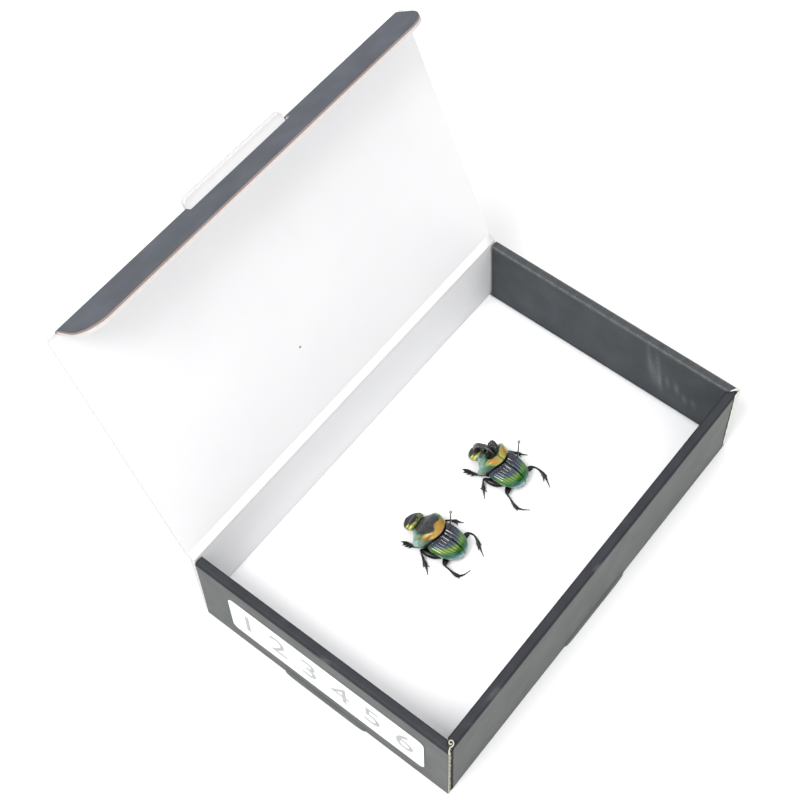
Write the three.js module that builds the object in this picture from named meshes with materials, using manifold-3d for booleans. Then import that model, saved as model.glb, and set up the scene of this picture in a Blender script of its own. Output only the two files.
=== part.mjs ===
// Two pinned dung beetles in a small hinged cardboard specimen box.
// Millimetres, +Z up. The origin is at the middle of the underside of the box's base.
// X runs along the box: the labelled end wall is at -X and the far end wall at +X.
// The lid is hinged along the back wall at +Y, and the front wall is at -Y.
import * as THREE from 'three';
import { mergeVertices } from 'three/addons/utils/BufferGeometryUtils.js';
import Module from 'manifold-3d';

const wasm = await Module();
wasm.setup();

// Box
const LENGTH = 150;
const DEPTH = 96;
const HEIGHT = 35.2;
const BOARD = 1.6;
const ROLLED_WALL = 3.2;
const OUTER_EDGE_RADIUS = 0.9;
const INNER_EDGE_RADIUS = 0.5;
const END_WALL_SHORT = 1.1;
const BACK_WALL_LEAN = 1.0;
const LOCK_TAB_WIDTH = 32;
const LOCK_TAB_PROUD = 0.6;
const LOCK_TAB_HEIGHT = 2.4;
const LOCK_TAB_SHIFT = -0.8;
const FOAM_TOP = 8.5;
const FOAM_UNDER = BOARD + 0.3;
const FOAM_CLEARANCE = 0.3;

// Lid and its tuck flap
const HINGE_Y = DEPTH / 2 + BACK_WALL_LEAN;
const HINGE_Z = HEIGHT + 0.6;
const LID_OPEN = 112.8;
const LID_LENGTH = 90.2;
const LID_START = 1.6;
const LID_HALF_WIDTH = 74.5;
const TAB_HALF_WIDTH = 20.4;
const TAB_LENGTH = 4.0;
const TAB_CORNER = 1.6;
const FLAP_FOLD = 77;
const FLAP_LENGTH = 16.5;
const FLAP_HALF_WIDTH = 71.2;
const FLAP_CORNER = 9;
const FLAP_START = 1.0;
const NOTCH_DEPTH = 2.2;
const NOTCH_SIDE_GAP = 0.5;

// Label
const LABEL_FRONT_Y = -39.2;
const LABEL_BACK_Y = 35.0;
const LABEL_BOTTOM_Z = 7.2;
const LABEL_TOP_Z = 27.0;
const LABEL_THICKNESS = 0.2;
const LABEL_CORNER = 2.2;
const LABEL_GAP = 0.05;

// Beetles
const FEMALE_X = -14.6;
const FEMALE_Y = 0;
const FEMALE_TURN = 4;
const MALE_X = 17.7;
const MALE_Y = 0;
const MALE_TURN = 1.5;
const ELYTRA_HALF_WIDTH = 5.65;
const PRONOTUM_HALF_WIDTH = 6.45;
const ELYTRA_FRONT = 0.4;
const ELYTRA_LENGTH = 8.2;
const ELYTRA_CREST = 8.4;
const ELYTRA_RIM = 3.5;
const ELYTRON_THICKNESS = 0.6;
const RIB_HEIGHT = 0.11;
const RIBS = 7;
const REAR_ARCH = 3.1;
const SUTURE_GAP = 0.15;
const PIECE_GAP = 0.3;
const BELLY = 1.3;
const FEMALE_PRONOTUM_LENGTH = 8.9;
const MALE_PRONOTUM_LENGTH = 8.1;
const MALE_HEAD_DROP = 0.7;
const HEAD_HALF_WIDTH = 3.5;
const HEAD_LENGTH = 4.8;
const PRONG_OFFSET = 3.1;
const PRONG_TOP = 9.6;

// Pins
const PIN_RADIUS = 0.22;
const PIN_HEAD_RADIUS = 0.5;
const PIN_BORE_RADIUS = 0.5;
const PIN_POINT_Z = FOAM_UNDER + 0.6;
const FEMALE_PIN = [-11.7, -0.2, 28.0];
const MALE_PIN = [22.4, -1.2, 25.2];

// Looks of each kind of piece: colour, roughness and metalness.
const LOOKS = {
  board: [0x5f6265, 0.8, 0],
  whiteBoard: [0xf0f0f0, 0.7, 0],
  foam: [0xfafafa, 0.9, 0],
  paper: [0xf2f2f2, 0.6, 0],
  steel: [0xc9c9c4, 0.3, 1],
  head: [0x2b2f2a, 0.35, 0.4],
  pronotum: [0x8a7a35, 0.35, 0.4],
  elytron: [0x1f4a3a, 0.3, 0.5],
  black: [0x1a1b1b, 0.45, 0.1],
};

const rad = THREE.MathUtils.degToRad;
const clamp01 = (x) => Math.min(1, Math.max(0, x));
const smooth = (a, b, x) => {
  const t = clamp01((x - a) / (b - a));
  return t * t * (3 - 2 * t);
};

// A BufferGeometry with shared vertices, turned so that its faces point out.
function solid(points, triangles) {
  let volume = 0;
  for (const [a, b, c] of triangles) {
    volume += points[a].dot(new THREE.Vector3().crossVectors(points[b], points[c]));
  }
  const index = volume < 0 ? triangles.map(([a, b, c]) => [a, c, b]) : triangles;
  const geometry = new THREE.BufferGeometry();
  const position = new Float32Array(points.flatMap((p) => [p.x, p.y, p.z]));
  geometry.setAttribute('position', new THREE.BufferAttribute(position, 3));
  geometry.setIndex(index.flat());
  return geometry;
}

// A closed body through a row of rings that all have the same number of points.
function loft(rings) {
  const n = rings[0].length;
  const points = rings.flat();
  const triangles = [];
  for (let r = 0; r + 1 < rings.length; r++) {
    for (let i = 0; i < n; i++) {
      const a = r * n + i;
      const b = r * n + ((i + 1) % n);
      triangles.push([a, b, b + n], [a, b + n, a + n]);
    }
  }
  const last = (rings.length - 1) * n;
  for (let i = 1; i + 1 < n; i++) {
    triangles.push([0, i + 1, i], [last, last + i, last + i + 1]);
  }
  return solid(points, triangles);
}

// A closed plate between an upper and a lower grid of points, with a wall round the edge.
function plate(upper, lower) {
  const rows = upper.length;
  const columns = upper[0].length;
  const points = [...upper.flat(), ...lower.flat()];
  const below = rows * columns;
  const at = (r, c) => r * columns + c;
  const triangles = [];
  for (let r = 0; r + 1 < rows; r++) {
    for (let c = 0; c + 1 < columns; c++) {
      const quad = [at(r, c), at(r, c + 1), at(r + 1, c + 1), at(r + 1, c)];
      triangles.push([quad[0], quad[1], quad[2]], [quad[0], quad[2], quad[3]]);
      const under = quad.map((i) => i + below);
      triangles.push([under[0], under[2], under[1]], [under[0], under[3], under[2]]);
    }
  }
  const edge = [];
  for (let c = 0; c < columns; c++) edge.push(at(0, c));
  for (let r = 1; r < rows; r++) edge.push(at(r, columns - 1));
  for (let c = columns - 2; c >= 0; c--) edge.push(at(rows - 1, c));
  for (let r = rows - 2; r >= 1; r--) edge.push(at(r, 0));
  edge.forEach((a, i) => {
    const b = edge[(i + 1) % edge.length];
    triangles.push([a, a + below, b + below], [a, b + below, b]);
  });
  return solid(points, triangles);
}

function toManifold(geometry) {
  const bare = geometry.clone();
  bare.deleteAttribute('normal');
  bare.deleteAttribute('uv');
  const merged = mergeVertices(bare, 1e-4);
  return new wasm.Manifold(new wasm.Mesh({
    numProp: 3,
    vertProperties: new Float32Array(merged.attributes.position.array),
    triVerts: new Uint32Array(merged.index.array),
  }));
}

function fromManifold(body) {
  const mesh = body.getMesh();
  const geometry = new THREE.BufferGeometry();
  geometry.setAttribute('position', new THREE.BufferAttribute(mesh.vertProperties, 3));
  geometry.setIndex([...mesh.triVerts]);
  return geometry;
}

const join = (...geometries) => fromManifold(
  geometries.map(toManifold).reduce((whole, piece) => whole.add(piece)),
);
const cut = (geometry, ...tools) => fromManifold(
  tools.map(toManifold).reduce((whole, tool) => whole.subtract(tool), toManifold(geometry)),
);


// The largest connected piece, where a cut has left crumbs.
const largest = (geometry) => fromManifold(
  toManifold(geometry).decompose().reduce((a, b) => (a.volume() > b.volume() ? a : b)),
);

function block(x0, x1, y0, y1, z0, z1) {
  const geometry = new THREE.BoxGeometry(x1 - x0, y1 - y0, z1 - z0);
  return geometry.translate((x0 + x1) / 2, (y0 + y1) / 2, (z0 + z1) / 2);
}

// A prism whose outline lies in the first two axes of the frame and runs along the third.
function prism(outline, along, frame) {
  const shape = new THREE.Shape(outline.map(([a, b]) => new THREE.Vector2(a, b)));
  const geometry = new THREE.ExtrudeGeometry(shape, { depth: along, bevelEnabled: false });
  return geometry.applyMatrix4(frame);
}

// Rounded rectangle as an outline of points. The radii start at the corner of high x and y and go
// counter-clockwise.
function roundedRect(x0, x1, y0, y1, radii, steps = 4) {
  const corners = [
    [x1, y1, -1, -1, 0],
    [x0, y1, 1, -1, 90],
    [x0, y0, 1, 1, 180],
    [x1, y0, -1, 1, 270],
  ];
  const outline = [];
  corners.forEach(([x, y, sx, sy, start], k) => {
    const r = radii[k];
    if (r === 0) {
      outline.push([x, y]);
      return;
    }
    for (let i = 0; i <= steps; i++) {
      const a = rad(start + (i / steps) * 90);
      outline.push([x + sx * r + r * Math.cos(a), y + sy * r + r * Math.sin(a)]);
    }
  });
  return outline;
}

const X = new THREE.Vector3(1, 0, 0);
const Y = new THREE.Vector3(0, 1, 0);
const Z = new THREE.Vector3(0, 0, 1);
const axes = (x, y, z, origin) => new THREE.Matrix4().makeBasis(x, y, z).setPosition(origin);

const group = new THREE.Group();
function add(name, geometry, [color, roughness, metalness]) {
  const material = new THREE.MeshStandardMaterial({ color, roughness, metalness });
  const mesh = new THREE.Mesh(geometry, material);
  mesh.name = name;
  group.add(mesh);
}

// Tray: one folded board. The end walls and the front wall are rolled over double, with soft top edges.
const halfL = LENGTH / 2;
const halfD = DEPTH / 2;
const rolledProfile = roundedRect(0, ROLLED_WALL, 0, HEIGHT, [INNER_EDGE_RADIUS, OUTER_EDGE_RADIUS, 0, 0], 3);
const endWallLength = DEPTH - END_WALL_SHORT;
const nearEndWall = prism(
  rolledProfile,
  endWallLength,
  axes(X, Z, Y.clone().negate(), new THREE.Vector3(-halfL, halfD - END_WALL_SHORT, 0)),
);
const farEndWall = prism(
  rolledProfile,
  endWallLength,
  axes(X.clone().negate(), Z, Y, new THREE.Vector3(halfL, -halfD, 0)),
);
const frontWall = prism(
  rolledProfile,
  LENGTH - BOARD,
  axes(Y, Z, X, new THREE.Vector3(-halfL + BOARD / 2, -halfD, 0)),
);
const backWall = prism(
  [
    [halfD - BOARD, 0],
    [halfD, 0],
    [halfD + BACK_WALL_LEAN, HEIGHT],
    [halfD + BACK_WALL_LEAN - BOARD, HEIGHT],
  ],
  2 * LID_HALF_WIDTH,
  axes(Y, Z, X, new THREE.Vector3(-LID_HALF_WIDTH, 0, 0)),
);
const base = block(-halfL, halfL, -halfD, halfD - BOARD / 2, 0, BOARD);

// The walls' inner panels lock through slots at the bottom edge, where their tabs bulge out a little.
const halfTab = LOCK_TAB_WIDTH / 2;
const tabY0 = LOCK_TAB_SHIFT - halfTab;
const tabY1 = LOCK_TAB_SHIFT + halfTab;
const lockTabs = [
  block(-halfL - LOCK_TAB_PROUD, -halfL + BOARD, tabY0, tabY1, 0, LOCK_TAB_HEIGHT),
  block(halfL - BOARD, halfL + LOCK_TAB_PROUD, tabY0, tabY1, 0, LOCK_TAB_HEIGHT),
  block(-halfTab, halfTab, -halfD - LOCK_TAB_PROUD, -halfD + BOARD, 0, LOCK_TAB_HEIGHT),
];
add('tray', join(base, nearEndWall, farEndWall, frontWall, backWall, ...lockTabs), LOOKS.board);

// Foam sheet that fills the bottom of the tray, bored for the two pins.
const bore = ([x, y], z0, z1) => {
  const geometry = new THREE.CylinderGeometry(PIN_BORE_RADIUS, PIN_BORE_RADIUS, z1 - z0, 10);
  return geometry.rotateX(Math.PI / 2).translate(x, y, (z0 + z1) / 2);
};
const foamX = halfL - ROLLED_WALL - FOAM_CLEARANCE;
const foamY0 = -halfD + ROLLED_WALL + FOAM_CLEARANCE;
const foamY1 = halfD - BOARD - FOAM_CLEARANCE;
const foam = cut(
  block(-foamX, foamX, foamY0, foamY1, FOAM_UNDER, FOAM_TOP),
  bore(FEMALE_PIN, PIN_POINT_Z - PIECE_GAP, FOAM_TOP + 1),
  bore(MALE_PIN, PIN_POINT_Z - PIECE_GAP, FOAM_TOP + 1),
);
add('foam_sheet', foam, LOOKS.foam);

// Label stuck on the near end wall.
const labelRadii = [LABEL_CORNER, LABEL_CORNER, LABEL_CORNER, LABEL_CORNER];
const label = prism(
  roundedRect(LABEL_FRONT_Y, LABEL_BACK_Y, LABEL_BOTTOM_Z, LABEL_TOP_Z, labelRadii),
  LABEL_THICKNESS,
  axes(Y, Z, X, new THREE.Vector3(-halfL - LABEL_GAP - LABEL_THICKNESS, 0, 0)),
);
add('label', label, LOOKS.paper);

// Lid, in its own frame: +X as the box, +Y from the hinge to the free edge, inner face at z = 0.
// The frame's Z points out of the closed box, and the sheet is above z = 0.
const openAngle = rad(LID_OPEN);
const away = new THREE.Vector3(0, -Math.cos(openAngle), Math.sin(openAngle));
const outward = new THREE.Vector3(0, Math.sin(openAngle), Math.cos(openAngle));
const lidFrame = axes(X.clone().negate(), away, outward, new THREE.Vector3(0, HINGE_Y, HINGE_Z));
const lidPanel = prism(
  roundedRect(-LID_HALF_WIDTH, LID_HALF_WIDTH, LID_START, LID_LENGTH, [0, 0, 0, 0]),
  BOARD,
  lidFrame,
);
const tabRadii = [TAB_CORNER, TAB_CORNER, 0, 0];
const lidTab = prism(
  roundedRect(-TAB_HALF_WIDTH, TAB_HALF_WIDTH, LID_LENGTH - BOARD, LID_LENGTH + TAB_LENGTH, tabRadii),
  BOARD,
  lidFrame,
);
add('lid', join(lidPanel, lidTab), LOOKS.whiteBoard);

// Tuck flap, folded in at the lid's free edge, notched where the lid's tab was cut out of it.
const foldAngle = rad(FLAP_FOLD);
const lidEdge = away.clone().multiplyScalar(LID_LENGTH).add(new THREE.Vector3(0, HINGE_Y, HINGE_Z));
const flapAway = away.clone().multiplyScalar(Math.cos(foldAngle))
  .sub(outward.clone().multiplyScalar(Math.sin(foldAngle)));
const flapOut = outward.clone().multiplyScalar(Math.cos(foldAngle))
  .add(away.clone().multiplyScalar(Math.sin(foldAngle)));
const flapFrame = axes(X.clone().negate(), flapAway, flapOut, lidEdge);
const flapRadii = [FLAP_CORNER, FLAP_CORNER, 0, 0];
const flapPanel = prism(
  roundedRect(-FLAP_HALF_WIDTH, FLAP_HALF_WIDTH, FLAP_START, FLAP_LENGTH, flapRadii, 6),
  BOARD,
  flapFrame,
);
const halfNotch = TAB_HALF_WIDTH + NOTCH_SIDE_GAP;
const notch = block(-halfNotch, halfNotch, FLAP_START - 1, FLAP_START + NOTCH_DEPTH, -1, BOARD + 1);
add('tuck_flap', cut(flapPanel, notch.applyMatrix4(flapFrame)), LOOKS.board);

// Pins: a thin steel shaft with a small round head, standing upright in the foam.
function pin(name, [x, y, top]) {
  const r = PIN_RADIUS;
  const head = PIN_HEAD_RADIUS;
  const profile = [
    [0, PIN_POINT_Z],
    [r * 0.55, PIN_POINT_Z + 1],
    [r, PIN_POINT_Z + 2.6],
    [r, top - 2 * head + 0.08],
    [head * 0.8, top - 1.55 * head],
    [head, top - head],
    [head * 0.72, top - 0.3 * head],
    [0, top],
  ].map(([a, b]) => new THREE.Vector2(a, b));
  const geometry = new THREE.LatheGeometry(profile, 10).rotateX(Math.PI / 2).translate(x, y, 0);
  add(name, geometry, LOOKS.steel);
}

// Elytra: the two wing cases make one dome. s runs 0 to 1 from the front edge to the rear tip,
// and v runs 0 to 1 from the seam between them to the outer rim.
function elytraPoint(s, v, inset) {
  const shoulder = 0.91 + 0.09 * smooth(0, 0.22, s);
  const half = (ELYTRA_HALF_WIDTH - inset) * shoulder * Math.pow(1 - Math.pow(s, 3.0), 0.46);
  const crest = ELYTRA_RIM + (ELYTRA_CREST - inset - ELYTRA_RIM) * Math.pow(1 - Math.pow(s, 2.8), 0.6);
  const a = Math.abs(v) * Math.PI / 2;
  const x = Math.sign(v) * half * Math.pow(Math.sin(a), 0.88);
  const z = ELYTRA_RIM - 0.3 * s + (crest - ELYTRA_RIM) * Math.pow(Math.max(0, Math.cos(a)), 0.78);
  const arch = REAR_ARCH * (x / ELYTRA_HALF_WIDTH) ** 2 * (1 - s);
  return new THREE.Vector3(x, ELYTRA_FRONT - (ELYTRA_LENGTH - inset) * s + arch, z);
}

const ELYTRA_ROWS = 9;
const rowAt = (r) => Math.sin((r / (ELYTRA_ROWS - 1)) * rad(84));
function elytron(side) {
  const upper = [];
  const lower = [];
  const columns = 2 * RIBS;
  for (let r = 0; r < ELYTRA_ROWS; r++) {
    const s = rowAt(r);
    const top = [];
    const under = [];
    for (let c = 0; c <= columns; c++) {
      const v = side * (0.012 + 0.988 * (c / columns));
      const rib = (c % 2 === 1 ? RIB_HEIGHT : -RIB_HEIGHT) * (1 - 0.6 * s);
      const p = elytraPoint(s, v, -rib * (c === 0 || c === columns ? 0 : 1));
      const q = elytraPoint(s, v, ELYTRON_THICKNESS);
      if (Math.abs(p.x) < SUTURE_GAP) p.x = side * SUTURE_GAP;
      if (Math.abs(q.x) < SUTURE_GAP) q.x = side * SUTURE_GAP;
      if (c === 0) {
        p.x = side * SUTURE_GAP;
        q.x = side * SUTURE_GAP;
      }
      top.push(p);
      under.push(q);
    }
    upper.push(top);
    lower.push(under);
  }
  return plate(upper, lower);
}

// Underside of the hind body: its back fits under the wing cases and its belly hangs between the legs.
// With other values it is the whole hind body, wing cases and all, grown by a gap.
function hindBody(inset = ELYTRON_THICKNESS + PIECE_GAP, grow = 0) {
  const upper = [];
  const lower = [];
  for (let r = 0; r < 7; r++) {
    const s = 0.03 + 0.97 * Math.sin((r / 6) * rad(80));
    const top = [];
    const under = [];
    for (let c = 0; c <= 12; c++) {
      const v = -1 + (2 * c) / 12;
      const p = elytraPoint(s, v === 0 ? 1e-6 : v, inset);
      const bowl = Math.pow(Math.max(0, Math.cos(v * Math.PI / 2)), 0.6) * Math.pow(1 - s ** 4, 0.5);
      const q = p.clone();
      q.z = ELYTRA_RIM - 0.7 - grow - (ELYTRA_RIM - 0.7 - BELLY) * bowl;
      p.y += grow * (1 - s);
      q.y += grow * (1 - s);
      top.push(p);
      under.push(q);
    }
    upper.push(top);
    lower.push(under);
  }
  return plate(upper, lower);
}

// Pronotum with the front body below it. Rings run from the rear margin to the neck.
// The male's is hollowed in front between two raised prongs.
function pronotum(male, grow = 0) {
  const rings = [];
  const length = male ? MALE_PRONOTUM_LENGTH : FEMALE_PRONOTUM_LENGTH;
  const stations = male
    ? [0, 0.12, 0.26, 0.4, 0.52, 0.6, 0.66, 0.72, 0.78, 0.84, 0.9, 0.96, 1]
    : [0, 0.12, 0.3, 0.48, 0.64, 0.8, 0.93, 1];
  const sides = male ? 40 : 24;
  for (const t of stations) {
    const narrowed = male
      ? 0.54 * Math.pow(smooth(0.34, 1.04, t), 1.2)
      : 0.46 * Math.pow(smooth(0.5, 1.04, t), 1.4);
    const half = grow + PRONOTUM_HALF_WIDTH * (0.87 + 0.13 * smooth(-0.05, 0.36, t)) * (1 - narrowed);
    const top = grow + ELYTRA_RIM + (5.0 + 0.9 * Math.sin(Math.PI * Math.min(1, t * 1.25)))
      * Math.pow(1 - Math.pow(t, 3.0) * (male ? 0.8 : 0.66), 0.7);
    const rim = ELYTRA_RIM + 0.5 - 1.2 * smooth(0, 0.5, t) + 1.5 * smooth(0.55, 1, t);
    const bottom = BELLY + 0.1 - grow + 1.9 * smooth(0.5, 1, t);
    const ring = [];
    for (let i = 0; i < sides; i++) {
      const a = (i / sides) * 2 * Math.PI;
      const c = Math.cos(a);
      const q = Math.sin(a);
      const x = half * Math.sign(c) * Math.pow(Math.abs(c), 0.85);
      let z = q >= 0
        ? rim + (top - rim) * Math.pow(q, 0.8)
        : rim - (rim - bottom) * Math.pow(-q, 0.8);
      let y = ELYTRA_FRONT + PIECE_GAP - grow + (length + 2 * grow) * t;
      y += REAR_ARCH * (x / ELYTRA_HALF_WIDTH) ** 2 * (1 - t);
      if (male && q > 0.1) {
        const hollow = Math.exp(-((x / 2.1) ** 4)) * smooth(0.32, 0.6, t);
        const across = (Math.abs(x) - PRONG_OFFSET) / 1.15;
        const prong = Math.exp(-(across ** 4) - (((t - 0.75) / 0.115) ** 4));
        z += (grow + PRONG_TOP - z) * prong;
        z -= 3.0 * hollow * (1 - prong) * (1 - 0.7 * smooth(0.8, 1, t));
      }
      ring.push(new THREE.Vector3(x, y, z));
    }
    rings.push(ring);
  }
  return loft(rings);
}

// Head: a flat shovel that slopes down to its front edge, thicker behind.
function headPlate(male) {
  const rear = ELYTRA_FRONT + 2 * PIECE_GAP + (male ? MALE_PRONOTUM_LENGTH : FEMALE_PRONOTUM_LENGTH);
  const drop = male ? MALE_HEAD_DROP : 0;
  const upper = [];
  const lower = [];
  const rows = 8;
  for (let r = 0; r <= rows; r++) {
    const s = Math.sin((r / rows) * rad(83));
    const cheek = 0.88 + 0.12 * smooth(0, 0.35, s);
    const half = HEAD_HALF_WIDTH * cheek * Math.pow(1 - Math.pow(s, 3), 0.5);
    const top = [];
    const under = [];
    for (let c = 0; c <= 10; c++) {
      const v = -1 + (2 * c) / 10;
      const notch = 0.35 * Math.exp(-((v / 0.16) ** 2)) * smooth(0.8, 1, s);
      const x = half * v;
      const y = rear + HEAD_LENGTH * s - notch;
      const slope = 5.9 - drop - 3.3 * s;
      const dome = (1 - v * v) * (0.55 + 0.25 * Math.exp(-(((s - 0.45) / 0.12) ** 2)));
      const thick = 0.45 + 1.9 * (1 - s) * (1 - 0.6 * v * v);
      top.push(new THREE.Vector3(x, y, slope + dome));
      under.push(new THREE.Vector3(x, y, slope - thick));
    }
    upper.push(top);
    lower.push(under);
  }
  return plate(upper, lower);
}

// A tapering limb through the given points. Each point is [x, y, z, half width, half height].
const stationPoint = ([x, y, z]) => new THREE.Vector3(x, y, z);
function limb(stations, sides = 6) {
  const rings = [];
  let lastUp = Z;
  stations.forEach(([x, y, z, w, h], i) => {
    const before = stations[Math.max(0, i - 1)];
    const after = stations[Math.min(stations.length - 1, i + 1)];
    const along = stationPoint(after).sub(stationPoint(before)).normalize();
    const side = new THREE.Vector3().crossVectors(along, lastUp).normalize();
    const up = new THREE.Vector3().crossVectors(side, along);
    lastUp = up;
    const ring = [];
    for (let k = 0; k < sides; k++) {
      const a = (k / sides) * 2 * Math.PI;
      const p = stationPoint([x, y, z]).addScaledVector(side, w * Math.cos(a));
      ring.push(p.addScaledVector(up, h * Math.sin(a)));
    }
    rings.push(ring);
  });
  return loft(rings);
}

// A small spur or tooth from one point to another.
function spur(from, to, radius) {
  const start = new THREE.Vector3(...from);
  const end = new THREE.Vector3(...to);
  const along = end.clone().sub(start);
  const geometry = new THREE.ConeGeometry(radius, along.length(), 5);
  geometry.translate(0, along.length() / 2, 0);
  geometry.applyQuaternion(new THREE.Quaternion().setFromUnitVectors(Y, along.clone().normalize()));
  return geometry.translate(...from);
}

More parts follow.
